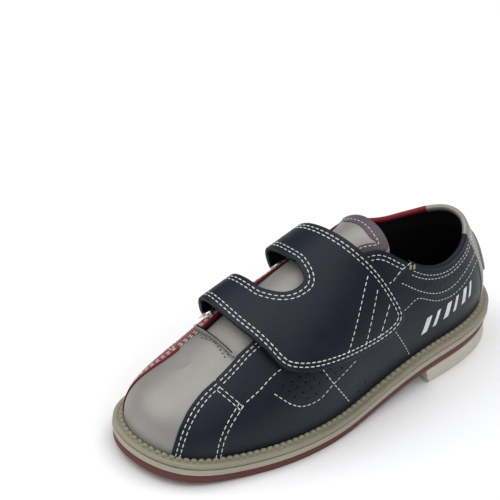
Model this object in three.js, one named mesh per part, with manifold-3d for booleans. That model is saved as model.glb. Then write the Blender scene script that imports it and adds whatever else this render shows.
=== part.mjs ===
// A child's left bowling shoe with a two-armed hook-and-loop strap, built over a shoemaker's last.
// Millimetres, +Z up. The toe points to -Y and the outer (lateral) side of the foot to +X.
import * as THREE from 'three';
import { mergeVertices } from 'three/addons/utils/BufferGeometryUtils.js';
import Module from 'manifold-3d';

const wasm = await Module();
wasm.setup();

// ---- overall sizes -------------------------------------------------------------------------
const LAST_LENGTH = 218;        // feather line, toe to heel
const BALL_WIDTH = 71;          // feather line, widest
const CONE_HEIGHT = 79;         // top of the last over the feather line at the heel
const TOE_SPRING = 4.9;         // outsole lifts this much at the toe tip
const HEEL_LIFT = 9.3;          // height of the heel block

// ---- sole sizes ----------------------------------------------------------------------------
const OUTSOLE = 5.0;
const MIDSOLE = 3.3;
const WELT = 2.5;
const WELT_LEDGE = 5.0;         // welt stands this far outside the upper
const WELT_INSIDE = 6.0;        // and reaches this far under it
const OUTSOLE_TRIM = 0.8;       // brown outsole is trimmed this much inside the midsole
const HEEL_FRONT = 50;          // where the heel block begins
const HEEL_FACE_SLOPE = 3;      // its front face leans back by this much
const INSOLE_BOARD = 1.8;
const SOCK_LINER = 1.5;
const SHANK = { width: 12, thickness: 1.2, from: -14, to: 72 };
const GAP = 0.3;                // clearance between parts that touch

// ---- upper sizes ---------------------------------------------------------------------------
const LEATHER = 1.3;
const STIFFENER = 0.9;
const LINING = 0.9;
const LAYER_GAP = 0.6;          // between the curved layers of the upper
const FEATHER_GAP = 0.35;       // upper over welt
const THROAT_HALF_GAP = 13;     // half the distance between the two facings
const SEAM_GAP = 0.35;          // between neighbouring panels
const SOCK_MARGIN = 1.2;        // sock liner to the lining round it
const BINDING = 2.6;            // rolled topline binding, diameter
const UNDER_BINDING = 0.622;    // from the binding down to the panels' edge
const TONGUE = { sidePlay: 0.9, cover: 1.1, foam: 3.2, lining: 0.9, below: 1.4 };
const PATCH = { radius: 12, rim: 14, thickness: 0.7, height: 0.29 };

// ---- strap sizes ---------------------------------------------------------------------------
const STRAP_LEATHER = 1.5;
const STRAP_LINING = 0.9;
const LOOP_PILE = 1.0;
const HOOK_PILE = 1.3;
const EYELET = { slotLong: 20.5, slotShort: 6.5, wall: 0.7, flange: 2.0, height: 1.5, lip: 0.6,
  clear: 2.2 };
const ARM_PLAY = 1;             // an arm to either end of its eyelet's slot
const ARM_WIDTH = EYELET.slotLong - 2 * ARM_PLAY;
const ARM_CROTCH = 0.13;        // how far the cut between the arms rounds up from the flap
const EYELET_PLACES = [-0.345, -0.478];   // along the last, on the inner side
const EYELET_BELOW_EDGE = 9.5;   // centre of an eyelet under the facing's edge
const ARM_LEAN = 44;            // degrees between an arm and the eyelet's own axis
const HINGE_CLEAR = 1.5;        // hinge line over the eyelet's flange

// ---- the last ------------------------------------------------------------------------------
// Thirteen stations from the toe tip (0) to the back of the heel (12), on a pattern last that is
// graded to the sizes above. `soles` is the pattern's feather line over the ground at the ball.
const PATTERN = { length: 218, width: 71, height: 79, toeSpring: 4.9, heelLift: 9.3, soles: 10.8 };
const LATERAL = [[-5, -108.5], [13, -105], [25, -92], [32, -70], [36.4, -46], [36.6, -20],
  [33, 7], [29.6, 34], [27.4, 60], [24, 82], [17.6, 98], [9, 106.8], [0, 109.5]];
const MEDIAL = [[-5, -108.5], [-20.5, -102], [-29, -88], [-33.4, -67], [-34, -44], [-30, -18],
  [-25, 8], [-23.4, 34], [-24.6, 60], [-23.6, 82], [-17.8, 98], [-9, 106.8], [0, 109.5]];
const RIDGE = {
  centre: [-5, -5, -5, -5, -4, -3, -2, -1, 0, 0, 0, 0, 0],
  apart: [0, 0, 0, 0, 0, 0, 3, 11, 15, 15, 11.5, 6, 0],
  y: [-84, -80, -74, -62, -44, -22, 3, 26, 46, 60, 71, 78, 80],
  z: [42, 43.5, 45.5, 51, 60, 71, 81.5, 90, 96, 98, 99, 99, 99],
};
const WALL_RISE = {
  lateral: [0.62, 0.62, 0.62, 0.6, 0.55, 0.5, 0.45, 0.4, 0.36, 0.36, 0.36, 0.36, 0.36],
  medial: [0.62, 0.62, 0.62, 0.6, 0.58, 0.6, 0.62, 0.6, 0.5, 0.4, 0.36, 0.36, 0.36],
};
const WALL_BULGE = {
  lateral: [1.5, 1.5, 1.5, 1.5, 1.5, 1.5, 1.5, 2, 3, 3.5, 3.5, 3.5, 3.5],
  medial: [1.5, 1.5, 1.5, 1.5, 2, 4, 6, 6, 5, 4, 3.5, 3.5, 3.5],
};
const SHOULDER = {
  lateral: [0.55, 0.55, 0.55, 0.56, 0.64, 0.68, 0.6, 0.36, 0.2, 0.15, 0.15, 0.15, 0.15],
  medial: [0.55, 0.55, 0.55, 0.56, 0.68, 0.8, 0.88, 0.7, 0.35, 0.2, 0.15, 0.15, 0.15],
};
const SHOULDER_DROP = [0, 0, 0, 0, 0, 0.04, 0.12, 0.25, 0.35, 0.35, 0.35, 0.35, 0.35];
const TOE_SLOPE = [0.38, 0.32, 0.2, 0.08, 0, 0, 0, 0, 0, 0, 0, 0, 0];
const BALL = { tip: -114, front: -56, back: -18.5, heel: 64 };  // where the sole leaves the ground

const STATIONS = 12;
const ROUND = 2 * STATIONS;
const gradeX = BALL_WIDTH / PATTERN.width;
const gradeY = LAST_LENGTH / PATTERN.length;
const gradeZ = CONE_HEIGHT / PATTERN.height;

// A closed cubic spline through evenly spaced values (a small dense solve, done once a curve).
function closedSpline(values) {
  const n = values.length;
  const slope = values.map((_, i) => 3 * (values[(i + 1) % n] - values[(i + n - 1) % n]));
  let m = slope.map((d) => d / 6);
  for (let pass = 0; pass < 60; pass += 1) {
    m = m.map((_, i) => (slope[i] - m[(i + 1) % n] - m[(i + n - 1) % n]) / 4);
  }
  return (k) => {
    const w = ((k % n) + n) % n;
    const i = Math.floor(w) % n;
    const j = (i + 1) % n;
    const t = w - Math.floor(w);
    const rise = values[j] - values[i];
    const a = m[i] - rise;
    const b = rise - m[j];
    return values[i] + t * rise + t * (1 - t) * (a * (1 - t) + b * t);
  };
}

const evenSpline = (row) => closedSpline([...row, ...row.slice(1, -1).reverse()]);
const oddSpline = (row) => closedSpline([...row, ...row.slice(1, -1).reverse().map((a) => -a)]);
const twoSided = (lateral, medial) => closedSpline([...lateral, ...medial.slice(1, -1).reverse()]);
const outlineRow = (axis) => twoSided(LATERAL.map((p) => p[axis]), MEDIAL.map((p) => p[axis]));
const last = {
  x: outlineRow(0), y: outlineRow(1),
  centre: evenSpline(RIDGE.centre), apart: oddSpline(RIDGE.apart),
  ridgeY: evenSpline(RIDGE.y), ridgeZ: evenSpline(RIDGE.z),
  rise: twoSided(WALL_RISE.lateral, WALL_RISE.medial),
  bulge: twoSided(WALL_BULGE.lateral, WALL_BULGE.medial),
  shoulder: twoSided(SHOULDER.lateral, SHOULDER.medial),
  drop: evenSpline(SHOULDER_DROP), slope: evenSpline(TOE_SLOPE),
};

// Underside of the outsole: flat under the ball, sprung at the toe, raised on the heel block.
// The place y is on the pattern last.
function underside(y, toeSpring, heelLift) {
  const toe = Math.max(0, (BALL.front - y) / (BALL.front - BALL.tip));
  return toeSpring * toe * toe + heelLift * THREE.MathUtils.smoothstep(y, BALL.back, BALL.heel);
}
const groundZ = (y) => underside(y / gradeY, TOE_SPRING, HEEL_LIFT);
// Height of the feather line on the pattern last, whose ridge heights are over the ground.
const patternFeather = (y) => underside(y, PATTERN.toeSpring, PATTERN.heelLift) + PATTERN.soles;
const featherZ = (y) => groundZ(y) + OUTSOLE + MIDSOLE + WELT;

// The feather line at station k, moved out by `out`.
function outline(k, out = 0) {
  const step = 0.01;
  const tx = (last.x(k + step) - last.x(k - step)) * gradeX;
  const ty = (last.y(k + step) - last.y(k - step)) * gradeY;
  const size = Math.hypot(tx, ty);
  return [last.x(k) * gradeX + (ty / size) * out, last.y(k) * gradeY - (tx / size) * out];
}

// The surface of the last: s runs from the toe (0) to the heel (1), negative on the inner side,
// and v from the feather line (0) to the ridge (1).
function lastPoint(s, v) {
  const k = s * STATIONS;
  const [px, py] = outline(k);
  const pz = featherZ(py) + FEATHER_GAP;
  const [nx, ny] = outline(k, 1).map((a, i) => a - [px, py][i]);
  const rx = (last.centre(k) + last.apart(k)) * gradeX;
  const ry = last.ridgeY(k) * gradeY;
  const rz = featherZ(ry) + (last.ridgeZ(k) - patternFeather(last.ridgeY(k))) * gradeZ;
  const dx = px - rx;
  const dy = py - ry;
  const reach = last.shoulder(k);
  const height = rz - pz;
  const span = Math.hypot(dx, dy);
  const bulge = last.bulge(k);
  const c1 = [px + nx * bulge, py + ny * bulge, pz + last.rise(k) * height];
  const c2 = [rx + dx * reach, ry + dy * reach,
    rz - last.drop(k) * height - last.slope(k) * reach * span];
  const u = 1 - v;
  const mix = [u * u * u, 3 * u * u * v, 3 * u * v * v, v * v * v];
  return new THREE.Vector3(
    mix[0] * px + mix[1] * c1[0] + mix[2] * c2[0] + mix[3] * rx,
    mix[0] * py + mix[1] * c1[1] + mix[2] * c2[1] + mix[3] * ry,
    mix[0] * pz + mix[1] * c1[2] + mix[2] * c2[2] + mix[3] * rz,
  );
}

function normalOf(surface, a, b, da = 1e-3, db = 1e-3) {
  const b0 = Math.max(b - db, 0);
  const b1 = Math.min(b + db, 1);
  const along = surface(a + da, b).sub(surface(a - da, b));
  const up = surface(a, b1).sub(surface(a, b0));
  return along.cross(up).normalize();
}

// A point on the last lifted off it; both sides of the ridge share one normal there.
function onLast(s, v, lift = 0) {
  const p = lastPoint(s, v);
  const away = Math.abs(s) < 0.04 ? Math.min(v, 0.93) : v;   // the ridge is one point at the toe
  const n = normalOf(lastPoint, s, away);
  if (v > 0.97 && Math.abs(s) < 0.5) {
    const other = normalOf(lastPoint, -s, away);
    n.addScaledVector(other, (v - 0.97) / 0.03).normalize();
  }
  return p.addScaledVector(n, lift);
}

// ---- closed solids from grids of points ------------------------------------------------------
function solid(triangles) {
  const flat = new Float32Array(triangles.length * 9);
  triangles.forEach((tri, i) => tri.forEach((p, j) => flat.set([p.x, p.y, p.z], i * 9 + j * 3)));
  const raw = new THREE.BufferGeometry();
  raw.setAttribute('position', new THREE.BufferAttribute(flat, 3));
  const merged = mergeVertices(raw, 1e-4);
  const index = merged.getIndex().array;
  const kept = [];
  for (let i = 0; i < index.length; i += 3) {
    const [a, b, c] = [index[i], index[i + 1], index[i + 2]];
    if (a !== b && b !== c && c !== a) kept.push(a, b, c);
  }
  merged.setIndex(kept);
  return merged;
}

// A slab between an outer and an inner grid. `cell(i, j)` leaves cells out, and `closed` joins
// the last column to the first.
function slab(columns, rows, outer, inner, { cell = () => true, closed = false } = {}) {
  const grid = (place) => Array.from({ length: columns + 1 }, (_, i) => Array.from(
    { length: rows + 1 },
    (__, j) => place(closed && i === columns ? 0 : i / columns, j / rows),
  ));
  const top = grid(outer);
  const bottom = grid(inner);
  const used = (i, j) => {
    const column = closed ? (i + columns) % columns : i;
    return column >= 0 && column < columns && j >= 0 && j < rows && cell(column, j);
  };
  const triangles = [];
  const quad = (a, b, c, d) => triangles.push([a, b, c], [a, c, d]);
  for (let i = 0; i < columns; i += 1) {
    for (let j = 0; j < rows; j += 1) {
      if (used(i, j)) {
        quad(top[i][j], top[i + 1][j], top[i + 1][j + 1], top[i][j + 1]);
        quad(bottom[i][j], bottom[i][j + 1], bottom[i + 1][j + 1], bottom[i + 1][j]);
        if (!used(i, j - 1)) quad(bottom[i][j], bottom[i + 1][j], top[i + 1][j], top[i][j]);
        if (!used(i, j + 1)) {
          quad(top[i][j + 1], top[i + 1][j + 1], bottom[i + 1][j + 1], bottom[i][j + 1]);
        }
        if (!used(i - 1, j)) quad(bottom[i][j], top[i][j], top[i][j + 1], bottom[i][j + 1]);
        if (!used(i + 1, j)) {
          quad(bottom[i + 1][j], bottom[i + 1][j + 1], top[i + 1][j + 1], top[i + 1][j]);
        }
      }
    }
  }
  return outward(solid(triangles));
}

// A round-cornered bead swept along a closed or open run of frames {at, across, up}.
function sweep(frames, section, closed) {
  const triangles = [];
  const rings = frames.map((f) => section.map(([a, b]) => f.at.clone()
    .addScaledVector(f.across, a).addScaledVector(f.up, b)));
  const count = closed ? rings.length : rings.length - 1;
  for (let i = 0; i < count; i += 1) {
    const one = rings[i];
    const two = rings[(i + 1) % rings.length];
    one.forEach((p, j) => {
      const q = (j + 1) % one.length;
      triangles.push([p, one[q], two[q]], [p, two[q], two[j]]);
    });
  }
  if (!closed) {
    const start = rings[0];
    const end = rings[rings.length - 1];
    for (let j = 1; j + 1 < section.length; j += 1) {
      triangles.push([start[0], start[j + 1], start[j]], [end[0], end[j], end[j + 1]]);
    }
  }
  return outward(solid(triangles));
}

function outward(geometry) {
  const p = geometry.getAttribute('position');
  const index = geometry.getIndex().array;
  const at = (i) => new THREE.Vector3().fromBufferAttribute(p, index[i]);
  let volume = 0;
  for (let i = 0; i < index.length; i += 3) volume += at(i).dot(at(i + 1).cross(at(i + 2)));
  if (volume < 0) {
    for (let i = 0; i < index.length; i += 3) {
      [index[i + 1], index[i + 2]] = [index[i + 2], index[i + 1]];
    }
  }
  geometry.computeVertexNormals();
  return geometry;
}

const toManifold = (geometry) => new wasm.Manifold(new wasm.Mesh({
  numProp: 3,
  vertProperties: new Float32Array(geometry.getAttribute('position').array),
  triVerts: new Uint32Array(geometry.getIndex().array),
}));

function fromManifold(body) {
  const mesh = body.getMesh();
  const geometry = new THREE.BufferGeometry();
  geometry.setAttribute('position', new THREE.BufferAttribute(mesh.vertProperties, 3));
  geometry.setIndex(new THREE.BufferAttribute(mesh.triVerts, 1));
  geometry.computeVertexNormals();
  return geometry;
}

const cut = (geometry, tools) => fromManifold(
  tools.reduce((body, tool) => body.subtract(toManifold(tool)), toManifold(geometry)),
);

// ---- sole ------------------------------------------------------------------------------------
const SOLE_RUNGS = 24;

// A plate between two heights, inside the feather line moved out by `out`.
function plate(out, bottom, top, from = 0, to = STATIONS) {
  const edge = (side, t) => {
    const k = THREE.MathUtils.lerp(from, to, t);
    return outline(side < 0 ? ROUND - k : k, out);
  };
  const place = (height) => (t, across) => {
    const [ax, ay] = edge(-1, t);
    const [bx, by] = edge(1, t);
    const x = THREE.MathUtils.lerp(ax, bx, across);
    const y = THREE.MathUtils.lerp(ay, by, across);
    return new THREE.Vector3(x, y, height(y));
  };
  return slab(SOLE_RUNGS, 1, place(top), place(bottom));
}

// The station where the outline crosses a given y, on either side.
function stationAt(y) {
  let low = 3;
  let high = STATIONS - 0.5;
  for (let i = 0; i < 40; i += 1) {
    const mid = (low + high) / 2;
    if (outline(mid)[1] < y) low = mid; else high = mid;
  }
  return low;
}

const outsoleTop = (y) => groundZ(y) + OUTSOLE - GAP;
const midsoleTop = (y) => groundZ(y) + OUTSOLE + MIDSOLE - GAP;
const weltTop = (y) => featherZ(y);
const boardBottom = (y) => featherZ(y) + GAP;
const boardTop = (y) => boardBottom(y) + INSOLE_BOARD;
const sockTop = (y) => boardTop(y) + GAP + SOCK_LINER;
const insideUpper = LEATHER + LAYER_GAP + STIFFENER + LAYER_GAP + LINING;

function welt() {
  const at = (height) => (t, u) => {
    const [x, y] = outline(t * ROUND, THREE.MathUtils.lerp(-WELT_INSIDE, WELT_LEDGE, u));
    return new THREE.Vector3(x, y, height(y));
  };
  return slab(2 * ROUND, 1, at(weltTop), at((y) => weltTop(y) - WELT + GAP), { closed: true });
}

function heelBlock() {
  const from = stationAt(HEEL_FRONT * gradeY);
  const out = WELT_LEDGE - OUTSOLE_TRIM;
  const leaning = (t, across, height) => {
    const k = THREE.MathUtils.lerp(from, STATIONS, t);
    const [ax, ay] = outline(ROUND - k, out);
    const [bx, by] = outline(k, out);
    const x = THREE.MathUtils.lerp(ax, bx, across);
    const y = THREE.MathUtils.lerp(ay, by, across);
    return height === 0
      ? new THREE.Vector3(x, y + HEEL_FACE_SLOPE * (1 - t), 0)
      : new THREE.Vector3(x, y, groundZ(y) - GAP);
  };
  return slab(14, 1, (t, a) => leaning(t, a, 1), (t, a) => leaning(t, a, 0));
}

function shank(grow) {
  const half = SHANK.width / 2 + grow;
  const place = (height) => (t, across) => {
    const y = THREE.MathUtils.lerp(SHANK.from - grow, SHANK.to + grow, t) * gradeY;
    return new THREE.Vector3(THREE.MathUtils.lerp(-half, half, across) + 1, y, height(y));
  };
  const bottom = (y) => midsoleTop(y) + GAP - 2 * grow;
  return slab(8, 1, place((y) => bottom(y) + SHANK.thickness + 6 * grow), place(bottom));
}

function corkFiller() {
  const bed = plate(-WELT_INSIDE - GAP, (y) => midsoleTop(y) + GAP, (y) => boardBottom(y) - GAP);
  return cut(bed, [shank(GAP)]);
}

// ---- upper -----------------------------------------------------------------------------------
const spline = (points) => {
  const curve = new THREE.SplineCurve(points.map(([a, b]) => new THREE.Vector2(a, b)));
  return (t) => curve.getPoint(THREE.MathUtils.clamp(t, 0, 1)).toArray();
};
// Distances along the last: a unit of s and a unit of v in millimetres, roughly.
const LENGTH_OF = { s: 240, v: 62 };

// A seam line moved sideways by a distance in millimetres.
function beside(line, distance) {
  return (t) => {
    const a = line(Math.max(t - 0.01, 0));
    const b = line(Math.min(t + 0.01, 1));
    const ds = (b[0] - a[0]) * LENGTH_OF.s;
    const dv = (b[1] - a[1]) * LENGTH_OF.v;
    const size = Math.hypot(ds, dv);
    const [s, v] = line(t);
    return [s - (dv / size) * (distance / LENGTH_OF.s), v + (ds / size) * (distance / LENGTH_OF.v)];
  };
}

// The throat opens from s `start` to the facings' peak, over a middle line that shifts a little
// inwards towards the toe. `corner` is where each facing's front corner meets the vamp.
const THROAT = {
  start: 0.268, peak: 0.535, middleFront: [0.26, -5.2], middleBack: [0.54, -4],
  corner: { lateral: 0.77642, medial: 0.69591 },
};

// The v at which the last is `THROAT_HALF_GAP` from the middle of the throat.
function throatV(s) {
  const side = Math.sign(s);
  const [[s0, x0], [s1, x1]] = [THROAT.middleFront, THROAT.middleBack];
  const middle = THREE.MathUtils.mapLinear(Math.abs(s), s0, s1, x0, x1) * gradeX;
  let low = 0.4;
  let high = 1;
  for (let i = 0; i < 30; i += 1) {
    const mid = (low + high) / 2;
    if ((lastPoint(s, mid).x - middle) * side > THROAT_HALF_GAP) low = mid; else high = mid;
  }
  return low;
}

const collarRun = [[0.647, 0.608], [0.673, 0.565], [0.708, 0.538], [0.745, 0.538], [0.79, 0.555],
  [0.845, 0.59], [0.92, 0.625], [1, 0.635]];
const toplines = {
  lateral: spline([[THROAT.peak, 0.885], [0.57, 0.862], [0.605, 0.741], [0.627, 0.665],
    ...collarRun]),
  medial: spline([[THROAT.peak, 0.8], [0.57, 0.78], [0.605, 0.715], [0.627, 0.66],
    ...collarRun]),
};

// Height of the topline at a given s; negative s is the inner side.
function toplineV(s) {
  const line = s < 0 ? toplines.medial : toplines.lateral;
  let low = 0;
  let high = 1;
  for (let i = 0; i < 30; i += 1) {
    const mid = (low + high) / 2;
    if (line(mid)[0] < Math.abs(s)) low = mid; else high = mid;
  }
  return line(low)[1];
}
const edgeV = (s) => (Math.abs(s) < THROAT.peak ? throatV(s) : toplineV(s));

const wingFront = spline([[0.1, 0], [0.106, 0.19], [0.114, 0.36], [0.132, 0.53], [0.165, 0.65],
  [0.205, 0.705]]);
const vampFront = spline([[0.1, 0], [0.106, 0.19], [0.114, 0.36], [0.132, 0.53], [0.165, 0.65],
  [0.205, 0.705], [0.24, 0.742], [THROAT.start, 0.775]]);
const wingTop = spline([[0.212, 0.69], [0.233, 0.54], [0.254, 0.395]]);
const wingBack = spline([[0.207, 0], [0.211, 0.15], [0.226, 0.275], [0.254, 0.395]]);
const facingLows = {
  lateral: spline([[0.254, 0.395], [0.287, 0.446], [0.309, 0.488], [0.335, 0.512], [0.4, 0.53],
    [0.49, 0.555], [0.577, 0.588]]),
  medial: spline([[0.254, 0.395], [0.287, 0.405], [0.309, 0.415], [0.335, 0.425], [0.4, 0.45],
    [0.49, 0.485], [0.577, 0.588]]),
};
const facingLow = (side) => (side < 0 ? facingLows.medial : facingLows.lateral);
const collarFront = spline([[0.577, 0.588], [0.601, 0.638], [0.627, 0.665]]);
const collarLow = spline([[0.577, 0.588], [0.596, 0.532], [0.616, 0.466], [0.638, 0.407],
  [0.663, 0.362], [0.693, 0.342], [0.722, 0.348], [0.757, 0.373], [0.8, 0.403], [0.842, 0.415]]);
const COUNTER_EDGE = 0.842;       // heel counter to quarter, along the last
const COLLAR_START = 0.627;       // where the topline's own panels begin
const panelTop = (s) => toplineV(s) - (BINDING / 2 + UNDER_BINDING) / LENGTH_OF.v;

const reversed = (line) => (t) => line(1 - t);
const mix = (a, b, t) => [THREE.MathUtils.lerp(a[0], b[0], t), THREE.MathUtils.lerp(a[1], b[1], t)];

// A panel ruled between two seam lines, on the outer (+1) or inner (-1) side.
function panel(side, lineA, lineB, along, across, lift = 0, thickness = LEATHER) {
  const at = (depth) => (t, u) => {
    const [s, v] = mix(lineA(t), lineB(t), u);
    return onLast(side * s, Math.min(v, 1), depth);
  };
  return slab(along, across, at(lift), at(lift - thickness));
}

// The vamp crosses the toe: u runs from the inner seam over the toe's middle to the outer one.
function overToe(seam, ridgeEnd, lift, thickness, along, across) {
  const middle = (t) => (t < 0.5 ? [0, 2 * t] : [(2 * t - 1) * ridgeEnd, 1]);
  const at = (depth) => (t, u) => {
    const side = u < 0.5 ? -1 : 1;
    const [s, v] = mix(middle(t), seam(t), Math.abs(2 * u - 1));
    return onLast(side * s, v, depth);
  };
  return slab(along, across, at(lift), at(lift - thickness));
}

function vamp() {
  return overToe(beside(vampFront, SEAM_GAP / 2), THROAT.start - 0.008, 0, LEATHER, 14, 16);
}

const liningLift = -(LEATHER + LAYER_GAP + STIFFENER + LAYER_GAP);
const vampLiningEdge = spline([[0.25, 0.01], [0.252, 0.3], [0.26, 0.55], [THROAT.start, 0.77]]);

function vampLining() {
  return overToe(vampLiningEdge, THROAT.start - 0.008, liningLift, LINING, 12, 14);
}

function toePuff() {
  const at = (depth) => (t, u) => onLast(
    THREE.MathUtils.lerp(-0.15, 0.15, t), THREE.MathUtils.lerp(0.02, 0.6, u), depth,
  );
  const lift = -(LEATHER + LAYER_GAP);
  return slab(12, 5, at(lift), at(lift - STIFFENER));
}

function wing(side) {
  const front = beside(wingFront, -SEAM_GAP / 2);
  const back = beside(wingBack, SEAM_GAP / 2);
  return panel(side, front, back, 6, 4);
}

// The facing's top edge runs from the wing past the throat's corner to its own heel end.
function facing(side) {
  const low = beside(facingLow(side), SEAM_GAP / 2);
  const [front, frontV] = wingTop(0);
  const heelEnd = 0.612;
  const belowEdge = 0.004;
  const corner = side < 0 ? THROAT.corner.medial : THROAT.corner.lateral;
  const high = (t) => {
    const s = THREE.MathUtils.lerp(front, heelEnd, t);
    if (s >= THROAT.start) return [s, edgeV(side * s) - belowEdge];
    return [s, THREE.MathUtils.mapLinear(s, front, THROAT.start, frontV, corner)];
  };
  const start = beside(wingTop, SEAM_GAP / 2);
  const end = beside(reversed(collarFront), SEAM_GAP / 2);
  const at = (depth) => (t, u) => {
    const [s, v] = coons(low, high, reversed(start), reversed(end), t, u);
    return onLast(side * s, v, depth);
  };
  return slab(22, 4, at(0), at(-LEATHER));
}

// Fills between four seam lines: bottom and top run with t, left and right with u.
function coons(bottom, top, left, right, t, u) {
  const ruledU = mix(bottom(t), top(t), u);
  const ruledT = mix(left(u), right(u), t);
  const flat = mix(mix(left(0), right(0), t), mix(left(1), right(1), t), u);
  return [ruledU[0] + ruledT[0] - flat[0], ruledU[1] + ruledT[1] - flat[1]];
}

function quarter(side) {
  const top = (t) => {
    const split = 0.56;
    const line = t < split ? facingLow(side)(t / split) : collarLow((t - split) / (1 - split));
    return line;
  };
  const high = beside(top, -SEAM_GAP / 2);
  const low = (t) => [THREE.MathUtils.lerp(0.207, COUNTER_EDGE, t), 0];
  const front = beside(wingBack, -SEAM_GAP / 2);
  const back = (u) => [COUNTER_EDGE - 0.001, 0.415 * u];
  const at = (depth) => (t, u) => {
    const [s, v] = coons(low, high, front, back, t, u);
    return onLast(side * s, Math.max(v, 0), depth);
  };
  return slab(26, 6, at(0), at(-LEATHER));
}

function collarPanel(side) {
  const low = beside(collarLow, SEAM_GAP / 2);
  const high = (t) => {
    const s = THREE.MathUtils.lerp(COLLAR_START, COUNTER_EDGE, t);
    return [s, panelTop(side * s)];
  };
  const at = (depth) => (t, u) => {
    const [s, v] = mix(low(t), high(t), u);
    return onLast(side * s, v, depth);
  };
  return slab(16, 3, at(0), at(-LEATHER));
}

// Everything at the back of the heel runs over s from COUNTER_EDGE round to the other side.
const roundHeel = (edge) => (t) => THREE.MathUtils.lerp(edge, 2 - edge, t);
const heelSide = (s) => (s > 1 ? s - 2 : s);

function heelCounter() {
  const run = roundHeel(COUNTER_EDGE + 0.002);
  const at = (depth) => (t, u) => {
    const s = heelSide(run(t));
    return onLast(s, u * panelTop(s), depth);
  };
  return slab(14, 6, at(0), at(-LEATHER));
}

function heelStiffener() {
  const run = roundHeel(0.8);
  const at = (depth) => (t, u) => onLast(
    heelSide(run(t)), THREE.MathUtils.lerp(0.03, 0.5, u), depth,
  );
  const lift = -(LEATHER + LAYER_GAP);
  return slab(14, 4, at(lift), at(lift - STIFFENER));
}

function quarterLining(side) {
  const at = (depth) => (t, u) => {
    const low = THREE.MathUtils.lerp(0.256, 0.9985, t);
    const top = THREE.MathUtils.lerp(THROAT.start + 0.006, 0.9985, t);
    const s = THREE.MathUtils.lerp(low, top, u);
    return onLast(side * s, THREE.MathUtils.lerp(0.01, edgeV(side * top) - 0.03, u), depth);
  };
  return slab(28, 6, at(liningLift), at(liningLift - LINING));
}

// The binding rolls over the edge from one facing's peak round the heel to the other.
function toplineBinding() {
  const count = 44;
  const run = roundHeel(COLLAR_START + 0.001);
  const frames = Array.from({ length: count + 1 }, (_, i) => {
    const s = heelSide(run(i / count));
    const next = heelSide(run((i + 0.05) / count));
    const at = onLast(s, toplineV(s), -LEATHER);
    const along = onLast(next, toplineV(next), -LEATHER).sub(at);
    const across = normalOf(lastPoint, s, toplineV(s));
    return { at, across, up: along.normalize().cross(across).normalize().negate() };
  });
  const r = BINDING / 2;
  const section = Array.from({ length: 8 }, (_, i) => {
    const angle = (i / 8) * 2 * Math.PI;
    return [r * Math.cos(angle), r * Math.sin(angle)];
  });
  return sweep(frames, section, false);
}

// A round patch bent to the back of the heel, between two radii.
function heelDisc(inner, outer, lift, thickness) {
  const middle = { s: 1, v: PATCH.height };
  const step = 0.01;
  const wide = onLast(heelSide(1 + step), middle.v).sub(onLast(1 - step, middle.v)).length() / step / 2;
  const tall = onLast(1, middle.v + step).sub(onLast(1, middle.v - step)).length() / step / 2;
  const at = (depth) => (t, u) => {
    const angle = t * 2 * Math.PI;
    const r = THREE.MathUtils.lerp(inner, outer, u);
    const s = middle.s + (r * Math.cos(angle)) / wide;
    return onLast(heelSide(s), middle.v + (r * Math.sin(angle)) / tall, depth);
  };
  return slab(24, 2, at(lift + thickness), at(lift), { closed: true });
}

// ---- tongue ----------------------------------------------------------------------------------
// Rows from the throat to the free end: y, middle x, crown height over the feather line's
// pattern, and how far it falls to either side at the distance `half`.
const TONGUE_ROWS = {
  half: 12.1,
  y: [-58.8, -44, -22, 3, 20, 32],
  x: [-5.4, -5, -4.5, -4, -4, -4],
  z: [49, 57.6, 68.9, 79.6, 85.2, 87.6],
  fall: [1.4, 2, 3, 4.5, 6.5, 8.5],
};
const TONGUE_HALF = THROAT_HALF_GAP - TONGUE.sidePlay;
const openSpline = (row) => {
  const curve = new THREE.SplineCurve(row.map((value, i) => new THREE.Vector2(i, value)));
  return (t) => curve.getPoint(THREE.MathUtils.clamp(t, 0, 1)).y;
};
const tongueRow = {
  x: openSpline(TONGUE_ROWS.x), y: openSpline(TONGUE_ROWS.y),
  z: openSpline(TONGUE_ROWS.z), fall: openSpline(TONGUE_ROWS.fall),
};

function tongueSurface(a, b) {
  const y = tongueRow.y(b);
  const z = featherZ(y * gradeY) + FEATHER_GAP + (tongueRow.z(b) - patternFeather(y)) * gradeZ;
  const x = THREE.MathUtils.lerp(-TONGUE_HALF, TONGUE_HALF, a);
  return new THREE.Vector3(
    tongueRow.x(b) * gradeX + x, y * gradeY, z - tongueRow.fall(b) * (x / TONGUE_ROWS.half) ** 2,
  );
}

function tongueLayer(top, thickness, margin) {
  const at = (depth) => (a, b) => {
    const u = THREE.MathUtils.lerp(margin, 1 - margin, a);
    const t = THREE.MathUtils.lerp(margin / 3, 1 - margin / 3, b);
    const n = normalOf(tongueSurface, u, t, 1e-3, 1e-3);
    return tongueSurface(u, t).addScaledVector(n, depth);
  };
  return slab(6, 14, at(-top), at(-top - thickness));
}

// ---- eyelets, strap and its anchors ------------------------------------------------------------
// The v reached by walking down the wall from v by a distance in millimetres.
function walkDown(s, from, distance) {
  const step = 0.002;
  let v = from;
  let left = distance;
  while (left > 0) {
    left -= lastPoint(s, v).distanceTo(lastPoint(s, v - step));
    v -= step;
  }
  return v;
}
const eyelets = EYELET_PLACES.map((s) => {
  const v = walkDown(s, throatV(s), EYELET_BELOW_EDGE);
  return { s, v, at: onLast(s, v), out: normalOf(lastPoint, s, v) };
});
const strapLine = eyelets[1].at.clone().sub(eyelets[0].at).normalize();
eyelets.forEach((e) => {
  e.out.addScaledVector(strapLine, -e.out.dot(strapLine)).normalize();
  e.up = e.out.clone().cross(strapLine).normalize();
  if (e.up.x < 0) e.up.negate();
});
const HINGE_LIFT = EYELET.height + HINGE_CLEAR;

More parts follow.
